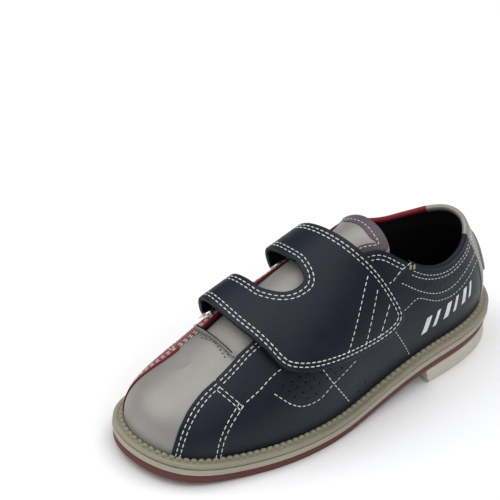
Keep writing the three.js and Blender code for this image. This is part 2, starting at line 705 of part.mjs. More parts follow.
// A rounded oval in the eyelet's plane, `grow` outside the slot.
function ovalPoint(eyelet, grow, angle, lift) {
  const half = EYELET.slotShort / 2 + grow;
  const straight = (EYELET.slotLong - EYELET.slotShort) / 2;
  const c = Math.cos(angle);
  const s = Math.sin(angle);
  const shift = Math.abs(c) < 1e-9 ? 0 : straight * Math.sign(c) * Math.min(1, Math.abs(c) * 4);
  return eyelet.at.clone().addScaledVector(strapLine, half * c + shift)
    .addScaledVector(eyelet.up, half * s).addScaledVector(eyelet.out, lift);
}

function solidOval(eyelet, grow) {
  const count = 24;
  const triangles = [];
  const ring = (lift) => Array.from(
    { length: count }, (_, i) => ovalPoint(eyelet, grow, (i / count) * 2 * Math.PI, lift),
  );
  const top = ring(8);
  const bottom = ring(-9);
  const high = eyelet.at.clone().addScaledVector(eyelet.out, 8);
  const low = eyelet.at.clone().addScaledVector(eyelet.out, -9);
  top.forEach((p, i) => {
    const j = (i + 1) % count;
    triangles.push([p, top[j], high], [bottom[j], bottom[i], low]);
    triangles.push([bottom[i], bottom[j], top[j]], [bottom[i], top[j], p]);
  });
  return outward(solid(triangles));
}

// Flange, barrel and rolled lip in one pressed piece.
function eyeletRing(eyelet) {
  const { wall, flange, height, lip } = EYELET;
  const depth = liningLift - LINING - EYELET.clear;
  const profile = [[0, height], [wall + flange * 0.7, height], [wall + flange, height * 0.55],
    [wall + flange, GAP * 2.2], [wall, GAP * 2.2], [wall, depth], [wall + lip, depth],
    [wall + lip, depth - 0.6], [0, depth - 0.6]];
  const count = 24;
  const triangles = [];
  const rings = Array.from({ length: count }, (_, i) => profile.map(
    ([grow, lift]) => ovalPoint(eyelet, grow, (i / count) * 2 * Math.PI, lift),
  ));
  rings.forEach((ring, i) => {
    const next = rings[(i + 1) % count];
    ring.forEach((p, j) => {
      const q = (j + 1) % ring.length;
      triangles.push([p, ring[q], next[q]], [p, next[q], next[j]]);
    });
  });
  return outward(solid(triangles));
}

// Flap outline on the outer side: its lower edge from the front corner to the rear one, and the
// line at FLAP_TOP where the two arms begin.
const FLAP_TOP = 0.89;
const flapLow = spline([[0.322, 0.6], [0.336, 0.512], [0.377, 0.432], [0.437, 0.377],
  [0.508, 0.334], [0.545, 0.338], [0.565, 0.372], [0.571, 0.43]]);
const ARMS = { front: [0, 0.325], rear: [0.675, 1] };
const flapTopS = (a) => THREE.MathUtils.lerp(0.305, 0.534, a);
const STRAP_BASE = GAP + LOOP_PILE + GAP + HOOK_PILE + GAP;

// Where column a of an arm meets the hinge line, at its eyelet.
function armEnd(a) {
  const [arm, eyelet] = a < 0.5 ? [ARMS.front, eyelets[0]] : [ARMS.rear, eyelets[1]];
  const t = THREE.MathUtils.clamp((a - arm[0]) / (arm[1] - arm[0]), 0, 1);
  return eyelet.at.clone().addScaledVector(strapLine, (t - 0.5) * ARM_WIDTH)
    .addScaledVector(eyelet.out, HINGE_LIFT);
}

// The strap's under face. w runs 0..0.5 up the flap and 0.5..1 along the arms to the eyelets.
function strapSurface(a, w) {
  const flap = (q) => {
    const [s, v] = mix(flapLow(a), [flapTopS(a), FLAP_TOP], q);
    return onLast(s, v, STRAP_BASE);
  };
  if (w <= 0.5) return flap(w * 2);
  const t = (w - 0.5) * 2;
  const start = flap(1);
  const way = start.clone().sub(flap(0.98)).normalize();
  const end = armEnd(a);
  const eyelet = a < 0.5 ? eyelets[0] : eyelets[1];
  const lean = THREE.MathUtils.degToRad(ARM_LEAN);
  const back = eyelet.out.clone().multiplyScalar(Math.cos(lean))
    .addScaledVector(eyelet.up, Math.sin(lean));
  const reach = start.distanceTo(end);
  const curve = new THREE.CubicBezierCurve3(
    start, start.clone().addScaledVector(way, reach * 0.42),
    end.clone().addScaledVector(back, reach * 0.5), end,
  );
  return curve.getPoint(t);
}

function strapLayer(lift, thickness, columns, rows) {
  const half = rows / 2;
  const isGap = (i) => {
    const a = (i + 0.5) / columns;
    return a > ARMS.front[1] && a < ARMS.rear[0];
  };
  const along = (a, w) => {
    const g = (a - ARMS.front[1]) / (ARMS.rear[0] - ARMS.front[1]);
    const corner = Math.min(1, Math.abs(2 * g - 1)) ** 2.5;
    const split = 0.5 + ARM_CROTCH * corner;
    return w <= 0.5 ? w * 2 * split : split + (w - 0.5) * 2 * (1 - split);
  };
  const at = (depth) => (a, w) => {
    const q = Math.min(along(a, w), 1);
    const n = normalOf(strapSurface, a, Math.min(q, 0.999));
    return strapSurface(a, q).addScaledVector(n, depth);
  };
  return slab(columns, rows, at(lift + thickness), at(lift), {
    cell: (i, j) => j < half || !isGap(i),
  });
}

// A fastening patch on the last under the flap. `along` and `up` are its shares of the flap.
function pile(lift, thickness, { along, up }) {
  const at = (depth) => (a, q) => {
    const column = THREE.MathUtils.lerp(...along, a);
    const row = THREE.MathUtils.lerp(...up, q);
    const [s, v] = mix(flapLow(column), [flapTopS(column), FLAP_TOP], row);
    return onLast(s, v, depth);
  };
  return slab(9, 6, at(lift + thickness), at(lift));
}

// The arm's sewn-down end: through the slot, over the eyelet's lip and down inside the lining.
function strapAnchor(eyelet) {
  const inside = liningLift - LINING;
  const path = new THREE.CatmullRomCurve3([[0, -0.6], [-0.2, inside - 1.1], [-2.4, inside - 4.1],
    [-6.5, inside - 4.1], [-10, inside - 2.1], [-17, inside - 1],
  ].map(([b, lift]) => new THREE.Vector3(b, lift, 0)));
  const half = 0.55;
  const at = (side) => (a, t) => {
    const p = path.getPoint(t);
    const tangent = path.getTangent(t);
    const b = p.x + side * half * tangent.y;
    const lift = p.y - side * half * tangent.x;
    const across = THREE.MathUtils.lerp(-0.5, 0.5, a) * (ARM_WIDTH - 1);
    const near = eyelet.at.clone().addScaledVector(strapLine, across)
      .addScaledVector(eyelet.up, b).addScaledVector(eyelet.out, lift);
    const v = eyelet.v + b / LENGTH_OF.v;
    const s = eyelet.s - (across / LENGTH_OF.s) * 1.05;
    const far = onLast(s, v, lift);
    return near.lerp(far, THREE.MathUtils.smoothstep(-b, 1, 8));
  };
  return slab(5, 14, at(1), at(-1));
}

// ---- the shoe --------------------------------------------------------------------------------
const SILVER = { color: 0xa9aaa8, roughness: 0.38, metalness: 0.55 };
const NAVY = { color: 0x1b2438, roughness: 0.45, metalness: 0 };
const RED = { color: 0x7a1a2a, roughness: 0.45, metalness: 0.1 };
const BLACK_TEXTILE = { color: 0x111113, roughness: 0.95, metalness: 0 };
const BOARD = { color: 0xb39a78, roughness: 0.9, metalness: 0 };
const NICKEL = { color: 0xb8b4aa, roughness: 0.25, metalness: 1 };

const shoe = new THREE.Group();
function add(name, geometry, look) {
  const mesh = new THREE.Mesh(geometry, new THREE.MeshStandardMaterial(look));
  mesh.name = name;
  shoe.add(mesh);
}

add('heel_block', heelBlock(), { color: 0xcfcac0, roughness: 0.7, metalness: 0 });
add('outsole', plate(WELT_LEDGE - OUTSOLE_TRIM, groundZ, outsoleTop),
  { color: 0x6f4038, roughness: 0.75, metalness: 0 });
add('midsole', plate(WELT_LEDGE, (y) => outsoleTop(y) + GAP, midsoleTop),
  { color: 0xb5b0a4, roughness: 0.7, metalness: 0 });
add('welt', welt(), { color: 0xa39e90, roughness: 0.75, metalness: 0 });
add('cork_filler', corkFiller(), { color: 0x9b7448, roughness: 0.95, metalness: 0 });
add('shank', shank(0), { color: 0x7d8085, roughness: 0.4, metalness: 1 });
add('insole_board', plate(-WELT_INSIDE - GAP, boardBottom, boardTop), BOARD);
add('sock_liner', plate(-insideUpper - SOCK_MARGIN, (y) => boardTop(y) + GAP, sockTop),
  BLACK_TEXTILE);
add('vamp', vamp(), SILVER);
add('toe_puff', toePuff(), BOARD);
add('vamp_lining', vampLining(), BLACK_TEXTILE);

const holes = eyelets.map((eyelet) => solidOval(eyelet, EYELET.wall + GAP));
[['lateral', 1, NAVY], ['medial', -1, RED]].forEach(([name, side, look]) => {
  const pierce = (geometry) => (side < 0 ? cut(geometry, holes) : geometry);
  add(`${name}_wing`, wing(side), look);
  add(`${name}_facing`, pierce(facing(side)), look);
  add(`${name}_quarter`, quarter(side), look);
  add(`${name}_collar_panel`, collarPanel(side), look);
  add(`${name}_quarter_lining`, pierce(quarterLining(side)), BLACK_TEXTILE);
});
add('heel_counter', heelCounter(), SILVER);
add('heel_stiffener', heelStiffener(), BOARD);
add('topline_binding', toplineBinding(), NAVY);
add('size_patch_ring', heelDisc(PATCH.radius + GAP, PATCH.rim, GAP, PATCH.thickness), SILVER);
add('size_patch', heelDisc(0, PATCH.radius, GAP, PATCH.thickness),
  { color: 0xe4e2dc, roughness: 0.6, metalness: 0 });

const tongueFoamTop = TONGUE.below + TONGUE.cover + GAP;
const tongueLiningTop = tongueFoamTop + TONGUE.foam + GAP;
add('tongue_cover', tongueLayer(TONGUE.below, TONGUE.cover, 0), SILVER);
add('tongue_foam', tongueLayer(tongueFoamTop, TONGUE.foam, 0.06),
  { color: 0xd8cf9a, roughness: 1, metalness: 0 });
add('tongue_lining', tongueLayer(tongueLiningTop, TONGUE.lining, 0.02), BLACK_TEXTILE);

eyelets.forEach((eyelet, i) => {
  const place = ['front', 'rear'][i];
  add(`${place}_eyelet`, eyeletRing(eyelet), NICKEL);
  add(`${place}_strap_anchor`, strapAnchor(eyelet), BLACK_TEXTILE);
});
add('strap', strapLayer(STRAP_LINING + GAP, STRAP_LEATHER, 20, 16), NAVY);
add('strap_lining', strapLayer(0, STRAP_LINING, 20, 16), BLACK_TEXTILE);
const loopArea = { along: [0.1, 0.96], up: [0.06, 0.82] };
const hookArea = { along: [0.2, 0.9], up: [0.12, 0.7] };
add('loop_patch', pile(GAP, LOOP_PILE, loopArea), BLACK_TEXTILE);
add('hook_patch', pile(2 * GAP + LOOP_PILE, HOOK_PILE, hookArea), BLACK_TEXTILE);

// The origin lies under the middle of the sole, on the floor.
const box = new THREE.Box3().setFromObject(shoe.getObjectByName('midsole'));
shoe.position.set(-(box.min.x + box.max.x) / 2, -(box.min.y + box.max.y) / 2, 0);
shoe.updateMatrixWorld(true);

export default shoe;
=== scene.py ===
"""Looks of a child's left bowling shoe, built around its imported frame.

Shapes are worked out in millimetres on the shoemaker's last and turned into metres as they are
placed. The toe points to -Y, the outer (lateral) side of the foot to +X, and +Z is up.
"""
import math

import bmesh
import bpy
import numpy as np
from mathutils import Matrix, Vector


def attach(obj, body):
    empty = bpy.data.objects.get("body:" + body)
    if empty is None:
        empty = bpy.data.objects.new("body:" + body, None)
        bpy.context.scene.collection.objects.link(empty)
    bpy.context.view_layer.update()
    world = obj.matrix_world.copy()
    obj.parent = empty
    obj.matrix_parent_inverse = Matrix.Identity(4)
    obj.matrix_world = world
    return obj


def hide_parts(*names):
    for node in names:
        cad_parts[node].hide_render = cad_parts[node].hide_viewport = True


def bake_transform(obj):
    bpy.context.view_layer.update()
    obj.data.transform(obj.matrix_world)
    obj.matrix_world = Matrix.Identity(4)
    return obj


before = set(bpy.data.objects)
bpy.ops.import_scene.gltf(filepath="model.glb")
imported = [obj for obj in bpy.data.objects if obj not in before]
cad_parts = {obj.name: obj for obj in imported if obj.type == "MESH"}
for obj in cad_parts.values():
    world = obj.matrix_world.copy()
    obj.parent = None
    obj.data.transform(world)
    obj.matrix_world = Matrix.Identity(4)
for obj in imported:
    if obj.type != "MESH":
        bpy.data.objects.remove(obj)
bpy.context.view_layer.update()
MM = 0.001
ORIGIN = np.array([-1.410, -0.511, 0.0])      # the last's frame to the shoe's, mm
rng = np.random.default_rng(7)


# ---- camera --------------------------------------------------------------------------------
CAMERA = {"azimuth": 43.83, "elevation": 35.45, "roll": 7.51, "distance": 1.8364,
          "target": (-0.07327, 0.0224, 0.03), "lens": 263.69, "sensor": 36.0}


def make_camera():
    a, e, r = (math.radians(CAMERA[k]) for k in ("azimuth", "elevation", "roll"))
    back = Vector((math.sin(a) * math.cos(e), -math.cos(a) * math.cos(e), math.sin(e)))
    level = Vector((math.cos(a), math.sin(a), 0))
    upright = back.cross(level)
    right = math.cos(r) * level + math.sin(r) * upright
    up = back.cross(right)
    data = bpy.data.cameras.new("camera")
    data.lens = CAMERA["lens"]
    data.sensor_width = CAMERA["sensor"]
    data.clip_end = 20
    camera = bpy.data.objects.new("camera", data)
    bpy.context.scene.collection.objects.link(camera)
    turn = Matrix((right, up, back)).transposed().to_4x4()
    place = Vector(CAMERA["target"]) + back * CAMERA["distance"]
    camera.matrix_world = Matrix.Translation(place) @ turn
    bpy.context.scene.camera = camera


make_camera()


# ---- the last ------------------------------------------------------------------------------
OUTSOLE, MIDSOLE, WELT = 5.0, 3.3, 2.5
GAP = 0.3
WELT_LEDGE = 5.0
TOE_SPRING, HEEL_LIFT = 4.9, 9.3
FEATHER_GAP = 0.35
HEEL_FRONT = 50
HEEL_FACE_SLOPE = 3
BALL = {"tip": -114, "front": -56, "back": -18.5, "heel": 64}
STATIONS = 12
LATERAL = [(-5, -108.5), (13, -105), (25, -92), (32, -70), (36.4, -46), (36.6, -20), (33, 7),
           (29.6, 34), (27.4, 60), (24, 82), (17.6, 98), (9, 106.8), (0, 109.5)]
MEDIAL = [(-5, -108.5), (-20.5, -102), (-29, -88), (-33.4, -67), (-34, -44), (-30, -18),
          (-25, 8), (-23.4, 34), (-24.6, 60), (-23.6, 82), (-17.8, 98), (-9, 106.8), (0, 109.5)]
RIDGE = {
    "centre": [-5, -5, -5, -5, -4, -3, -2, -1, 0, 0, 0, 0, 0],
    "apart": [0, 0, 0, 0, 0, 0, 3, 11, 15, 15, 11.5, 6, 0],
    "y": [-84, -80, -74, -62, -44, -22, 3, 26, 46, 60, 71, 78, 80],
    "z": [42, 43.5, 45.5, 51, 60, 71, 81.5, 90, 96, 98, 99, 99, 99],
}
WALL_RISE = ([.62, .62, .62, .6, .55, .5, .45, .4, .36, .36, .36, .36, .36],
             [.62, .62, .62, .6, .58, .6, .62, .6, .5, .4, .36, .36, .36])
WALL_BULGE = ([1.5, 1.5, 1.5, 1.5, 1.5, 1.5, 1.5, 2, 3, 3.5, 3.5, 3.5, 3.5],
              [1.5, 1.5, 1.5, 1.5, 2, 4, 6, 6, 5, 4, 3.5, 3.5, 3.5])
SHOULDER = ([.55, .55, .55, .56, .64, .68, .6, .36, .2, .15, .15, .15, .15],
            [.55, .55, .55, .56, .68, .8, .88, .7, .35, .2, .15, .15, .15])
SHOULDER_DROP = [0, 0, 0, 0, 0, .04, .12, .25, .35, .35, .35, .35, .35]
TOE_SLOPE = [.38, .32, .2, .08, 0, 0, 0, 0, 0, 0, 0, 0, 0]


def closed_spline(values):
    """A periodic cubic through evenly spaced values."""
    values = np.array(values, float)
    n = len(values)
    slope = 3 * (np.roll(values, -1) - np.roll(values, 1))
    m = slope / 6
    for _ in range(60):
        m = (slope - np.roll(m, -1) - np.roll(m, 1)) / 4

    def at(k):
        w = np.mod(k, n)
        i = np.floor(w).astype(int) % n
        j = (i + 1) % n
        t = w - np.floor(w)
        rise = values[j] - values[i]
        return values[i] + t * rise + t * (1 - t) * ((m[i] - rise) * (1 - t) + (rise - m[j]) * t)
    return at


def two_sided(lateral, medial):
    return closed_spline(list(lateral) + list(medial)[-2:0:-1])


def even(row):
    return two_sided(row, row)


def odd(row):
    return two_sided(row, [-a for a in row])


last_x = two_sided([p[0] for p in LATERAL], [p[0] for p in MEDIAL])
last_y = two_sided([p[1] for p in LATERAL], [p[1] for p in MEDIAL])
ridge = {"centre": even(RIDGE["centre"]), "apart": odd(RIDGE["apart"]),
         "y": even(RIDGE["y"]), "z": even(RIDGE["z"])}
wall_rise, wall_bulge, shoulder = (two_sided(*rows) for rows in (WALL_RISE, WALL_BULGE, SHOULDER))
shoulder_drop, toe_slope = even(SHOULDER_DROP), even(TOE_SLOPE)


def smoothstep(x, low, high):
    t = np.clip((x - low) / (high - low), 0, 1)
    return t * t * (3 - 2 * t)


def ground_z(y):
    toe = np.maximum(0, (BALL["front"] - y) / (BALL["front"] - BALL["tip"]))
    return TOE_SPRING * toe ** 2 + HEEL_LIFT * smoothstep(y, BALL["back"], BALL["heel"])


def outsole_top(y):
    return ground_z(y) + OUTSOLE - GAP


def midsole_top(y):
    return ground_z(y) + OUTSOLE + MIDSOLE - GAP


def feather_z(y):
    return ground_z(y) + OUTSOLE + MIDSOLE + WELT


def outline(k, out=0.0):
    """The feather line at station k, moved out by `out`."""
    step = 0.01
    tx = last_x(k + step) - last_x(k - step)
    ty = last_y(k + step) - last_y(k - step)
    size = np.hypot(tx, ty)
    return last_x(k) + ty / size * out, last_y(k) - tx / size * out


def last_point(s, v):
    """The last: s from the toe (0) to the heel (1), negative inside; v from the feather line
    (0) to the ridge (1)."""
    k = s * STATIONS
    px, py = outline(k)
    ox, oy = outline(k, 1)
    pz = feather_z(py) + FEATHER_GAP
    rx, ry, rz = ridge["centre"](k) + ridge["apart"](k), ridge["y"](k), ridge["z"](k)
    dx, dy, height = px - rx, py - ry, rz - pz
    reach, bulge, u = shoulder(k), wall_bulge(k), 1 - v
    start = (px, py, pz)
    c1 = (px + (ox - px) * bulge, py + (oy - py) * bulge, pz + wall_rise(k) * height)
    c2 = (rx + dx * reach, ry + dy * reach,
          rz - shoulder_drop(k) * height - toe_slope(k) * reach * np.hypot(dx, dy))
    end = (rx, ry, rz)
    return np.stack([u ** 3 * a + 3 * u * u * v * b + 3 * u * v * v * c + v ** 3 * d
                     for a, b, c, d in zip(start, c1, c2, end)], axis=1)


def normals(surface, a, b, step=1e-3):
    low, high = np.maximum(b - step, 0), np.minimum(b + step, 1.2)
    n = np.cross(surface(a + step, b) - surface(a - step, b), surface(a, high) - surface(a, low))
    return n / np.linalg.norm(n, axis=1)[:, None]


def on_last(s, v, lift):
    """A point on the last lifted off it; both sides of the ridge share one normal there."""
    s, v = np.asarray(s, float), np.asarray(v, float)
    inside = np.clip(v, 0, 1)
    away = np.where(np.abs(s) < 0.04, np.minimum(inside, 0.93), np.minimum(inside, 0.999))
    n = normals(last_point, s, away)
    other = normals(last_point, -s, away)
    weight = np.where(np.abs(s) < 0.5, np.clip((inside - 0.97) / 0.03, 0, 1), 0)
    n = n + other * weight[:, None]
    n /= np.linalg.norm(n, axis=1)[:, None]
    return last_point(s, v) + n * np.asarray(lift, float).reshape(-1, 1)


# ---- seam lines ----------------------------------------------------------------------------
def spline(points):
    """A smooth line through points, for t from 0 to 1."""
    p = np.array(points, float)
    n = len(p)

    def at(t):
        q = np.clip(np.atleast_1d(np.asarray(t, float)), 0, 1) * (n - 1)
        i = np.minimum(q.astype(int), n - 2)
        w = (q - i)[:, None]
        p0, p1, p2, p3 = p[np.maximum(i - 1, 0)], p[i], p[i + 1], p[np.minimum(i + 2, n - 1)]
        m0, m1 = (p2 - p0) / 2, (p3 - p1) / 2
        return ((2 * p1 - 2 * p2 + m0 + m1) * w ** 3
                + (-3 * p1 + 3 * p2 - 2 * m0 - m1) * w ** 2 + m0 * w + p1)
    return at


def run(line, count=24, start=0.0, end=1.0):
    return line(np.linspace(start, end, count))


THROAT_HALF_GAP = 13
THROAT_START, THROAT_PEAK = 0.268, 0.535
COUNTER_EDGE = 0.842
COLLAR_START = 0.627
COLLAR_RUN = [(.647, .608), (.673, .565), (.708, .538), (.745, .538), (.79, .555), (.845, .59),
              (.92, .625), (1, .635)]
TOPLINES = {
    1: spline([(THROAT_PEAK, .885), (.57, .862), (.605, .741), (.627, .665)] + COLLAR_RUN),
    -1: spline([(THROAT_PEAK, .8), (.57, .78), (.605, .715), (.627, .66)] + COLLAR_RUN),
}
WING_FRONT = [(.1, 0), (.106, .19), (.114, .36), (.132, .53), (.165, .65), (.205, .705)]
vamp_front = spline(WING_FRONT + [(.24, .742), (THROAT_START, .775)])
wing_front = spline(WING_FRONT)
wing_top = spline([(.212, .69), (.233, .54), (.254, .395)])
wing_back = spline([(.207, 0), (.211, .15), (.226, .275), (.254, .395)])
FACING_LOWS = {
    1: spline([(.254, .395), (.287, .446), (.309, .488), (.335, .512), (.4, .53), (.49, .555),
               (.577, .588)]),
    -1: spline([(.254, .395), (.287, .405), (.309, .415), (.335, .425), (.4, .45), (.49, .485),
                (.577, .588)]),
}
collar_front = spline([(.577, .588), (.601, .638), (.627, .665)])
collar_low = spline([(.577, .588), (.596, .532), (.616, .466), (.638, .407), (.663, .362),
                     (.693, .342), (.722, .348), (.757, .373), (.8, .403), (.842, .415)])
lower_row = spline([(.588, .377), (.605, .397), (.622, .412), (.643, .368), (.666, .322),
                    (.699, .299), (.732, .306), (.77, .331), (.81, .357), (.842, .366)])
scallop = spline([(.307, .395), (.321, .327), (.336, .264), (.355, .217), (.375, .202),
                  (.395, .205), (.419, .244), (.446, .266), (.472, .286)])
cross_row = spline([(.401, .385), (.421, .246), (.459, .052)])
rear_row = spline([(.564, .279), (.578, .184), (.598, .044)])


def solve(function, target, low, high, shape):
    """Where a rising function of v meets its target, by halving."""
    low, high = np.full(shape, low, float), np.full(shape, high, float)
    for _ in range(30):
        middle = (low + high) / 2
        below = function(middle) < target
        low, high = np.where(below, middle, low), np.where(below, high, middle)
    return low


def throat_v(s):
    s = np.asarray(s, float)
    side = np.sign(s)
    middle = -5.2 + 1.2 * (np.abs(s) - 0.26) / 0.28
    return solve(lambda v: -(last_point(s, v)[:, 0] - middle) * side, -THROAT_HALF_GAP, .4, 1, s.shape)


def topline_v(s):
    s = np.asarray(s, float)
    s = np.where(s > 1, s - 2, s)
    values = []
    for side in (1, -1):
        line = TOPLINES[side]
        t = solve(lambda t, line=line: line(t)[:, 0], np.abs(s), 0, 1, s.shape)
        values.append(line(t)[:, 1])
    return np.where(s < 0, values[1], values[0])


def edge_v(s):
    return np.where(np.abs(s) < THROAT_PEAK, throat_v(s), topline_v(s))


# ---- surfaces that pieces are laid on --------------------------------------------------------
class Surface:
    """A curved surface point(u, v, lift) in mm, with the rough lengths of u and v."""

    def __init__(self, point, lengths):
        self.point = point
        self.lengths = lengths

    def frames(self, uv, lift=0.0):
        """Places, unit steps along u and v, and normals."""
        u, v = uv[:, 0], uv[:, 1]
        step = 1e-3
        lifts = np.full(len(u), lift)
        du = (self.point(u + step, v, lifts) - self.point(u - step, v, lifts)) / (2 * step)
        dv = (self.point(u, v + step, lifts) - self.point(u, v - step, lifts)) / (2 * step)
        n = np.cross(du, dv)
        n /= np.linalg.norm(n, axis=1)[:, None]
        return self.point(u, v, lifts), du, dv, n

    def step_by(self, uv, way, du, dv):
        """Moves (u, v) by a step given in millimetres in space."""
        a, b, c = (du * du).sum(1), (du * dv).sum(1), (dv * dv).sum(1)
        p, q = (way * du).sum(1), (way * dv).sum(1)
        det = a * c - b * b
        return uv + np.stack([(c * p - b * q) / det, (a * q - b * p) / det], axis=1)

    def beside(self, uv, distance):
        """A line moved sideways, to its left as seen from outside."""
        place, du, dv, n = self.frames(uv)
        tangent = np.gradient(place, axis=0)
        tangent /= np.linalg.norm(tangent, axis=1)[:, None]
        return self.step_by(uv, np.cross(n, tangent) * distance, du, dv)

    def around(self, centre, way, lift=0.0):
        """The (u, v) of points that lie a step `way`, in space, from a centre."""
        uv = np.array([centre])
        _, du, dv, _ = self.frames(uv, lift)
        count = len(way)
        return self.step_by(np.repeat(uv, count, 0), way, np.repeat(du, count, 0),
                            np.repeat(dv, count, 0))

    def oval(self, centre, radius, count=12):
        """A round outline about a point of the surface."""
        _, du, _, n = self.frames(np.array([centre]))
        first = du[0] / np.linalg.norm(du[0])
        second = np.cross(n[0], first)
        angles = np.arange(count) * 2 * math.pi / count
        way = (np.cos(angles)[:, None] * first * radius
               + np.sin(angles)[:, None] * second * radius)
        return self.around(centre, way)


LAST_ROUND, LAST_TALL = 240, 62                  # rough lengths along s and v, mm
last = Surface(on_last, (LAST_ROUND, LAST_TALL))


# ---- mesh work -------------------------------------------------------------------------------
def make_object(name, bm, sharp=50):
    """Turns a bmesh in the last's millimetres into an object in the shoe's metres."""
    for v in bm.verts:
        v.co = (v.co + Vector(ORIGIN)) * MM
    for e in bm.edges:
        e.smooth = not e.is_manifold or e.calc_face_angle(0) < math.radians(sharp)
    for f in bm.faces:
        f.smooth = True
    mesh = bpy.data.meshes.new(name)
    bm.to_mesh(mesh)
    bm.free()
    piece = bpy.data.objects.new(name, mesh)
    bpy.context.scene.collection.objects.link(piece)
    return piece


def lay(bm, point):
    """Moves every vertex from its flat place (u, v, lift) to its place in space."""
    flat = np.array([v.co for v in bm.verts], float).reshape(-1, 3)
    for v, place in zip(bm.verts, point(flat[:, 0], flat[:, 1], flat[:, 2])):
        v.co = place


def finish_shell(bm, merge=1e-3):
    bmesh.ops.remove_doubles(bm, verts=bm.verts, dist=merge)
    bmesh.ops.recalc_face_normals(bm, faces=bm.faces)


def cut_to_grid(bm, step, hole_cells):
    """Cuts a flat sheet along a square grid and dissolves what the fill left inside its cells."""
    corners = np.array([v.co for v in bm.verts])
    for axis in (0, 1):
        for line in np.arange(math.floor(corners[:, axis].min() / step) + 1,
                              math.ceil(corners[:, axis].max() / step)):
            place, normal = Vector((0, 0, 0)), Vector((0, 0, 0))
            place[axis], normal[axis] = line * step, 1
            geometry = bm.verts[:] + bm.edges[:] + bm.faces[:]
            bmesh.ops.bisect_plane(bm, geom=geometry, dist=1e-4, plane_co=place, plane_no=normal)

    def cell(face):
        middle = face.calc_center_median()
        return math.floor(middle.x / step), math.floor(middle.y / step)
    inner = [e for e in bm.edges if len(e.link_faces) == 2
             and cell(e.link_faces[0]) == cell(e.link_faces[1])
             and cell(e.link_faces[0]) not in hole_cells]
    bmesh.ops.dissolve_edges(bm, edges=inner, use_verts=False)


def mark_outward(bm, rims):
    """Stores, on each rim vertex, the way out of the sheet."""
    layer = bm.verts.layers.float_vector["out"]
    for e in rims:
        a, b = e.verts
        way = (b.co - a.co).cross(Vector((0, 0, 1))).normalized()
        if way.dot(e.link_faces[0].calc_center_median() - a.co) > 0:
            way.negate()
        a[layer] += way
        b[layer] += way
    for v in {v for e in rims for v in e.verts}:
        v[layer] = v[layer].normalized()


def plate(name, surface, edge, lift, thick=1.2, holes=(), roll=0.3, step=2.6, joined=None,
          shape=None):
    """A leather or cloth piece cut to an outline, with rolled edges, laid on a surface.

    `edge` and `holes` are outlines in (u, v), `lift` its outer face over the surface, `joined`
    says which flat edges stay open for a neighbour, and `shape` bends the flat sheet first.
    """
    bm = bmesh.new()
    layer = bm.verts.layers.float_vector.new("out")
    wide, tall = surface.lengths

    def loop(points):
        verts = [bm.verts.new((u * wide, v * tall, 0)) for u, v in points]
        return [bm.edges.new(pair) for pair in zip(verts, verts[1:] + verts[:1])]
    edges = loop(edge)
    for hole in holes:
        edges += loop(hole)
    cells = {(math.floor(u * wide / step), math.floor(v * tall / step))
             for hole in holes for u, v in hole}
    bmesh.ops.triangle_fill(bm, use_beauty=True, edges=edges, normal=(0, 0, 1))
    cut_to_grid(bm, step, cells)
    bm.normal_update()
    bmesh.ops.reverse_faces(bm, faces=[f for f in bm.faces if f.normal.z < 0])
    rims = [e for e in bm.edges if e.is_boundary and not (joined and joined(e))]
    mark_outward(bm, rims)
    under = bmesh.ops.duplicate(bm, geom=bm.faces[:])
    below = [g for g in under["geom"] if isinstance(g, bmesh.types.BMFace)]
    bmesh.ops.reverse_faces(bm, faces=below)
    for v in {v for f in below for v in f.verts}:
        v.co.z = -thick
    path = [(roll * math.sin(a), -roll * (1 - math.cos(a)))
            for a in (math.radians(35), math.radians(70))]
    path += [(roll, -min(roll * 1.3, thick / 2)), (roll, -thick), (0, -thick)]
    reached = (0.0, 0.0)
    for number, (out, z) in enumerate(path):
        made = bmesh.ops.extrude_edge_only(bm, edges=rims)["geom"]
        fresh = {g for g in made if isinstance(g, bmesh.types.BMVert)}
        for v in fresh:
            v.co += v[layer] * (out - reached[0]) + Vector((0, 0, z - reached[1]))
        for g in made:
            if isinstance(g, bmesh.types.BMFace) and number > 1:
                g.material_index = 1
        rims = [g for g in made if isinstance(g, bmesh.types.BMEdge)
                and g.verts[0] in fresh and g.verts[1] in fresh]
        reached = (out, z)

    def place(x, y, z):
        u, v = x / wide, y / tall
        lifted = lift + z if shape is None else lift + z + shape(u, v)
        return surface.point(u, v, lifted)
    lay(bm, place)
    finish_shell(bm)
    return make_object(name, bm)


def grid_piece(name, columns, rows, point, sharp=50, caps=False):
    """A grid laid by point(t, q), with t and q from 0 to 1, welded where it meets itself."""
    bm = bmesh.new()
    bmesh.ops.create_grid(bm, x_segments=columns, y_segments=rows, size=0.5)
    lay(bm, lambda x, y, z: point(x + 0.5, y + 0.5))
    bmesh.ops.remove_doubles(bm, verts=bm.verts, dist=1e-3)
    if caps:
        bmesh.ops.holes_fill(bm, edges=[e for e in bm.edges if e.is_boundary], sides=0)
    bmesh.ops.recalc_face_normals(bm, faces=bm.faces)
    return make_object(name, bm, sharp)


def row_of_points(path, q):
    """Points at share q of a closed list of points, taken in order."""
    path = np.array(path, float)
    count = len(path)
    place = np.round(q * count).astype(int) % count
    return path[place]


# ---- stitching -------------------------------------------------------------------------------
STITCH = {"length": 2.3, "gap": 0.75, "width": 0.62, "height": 0.5}


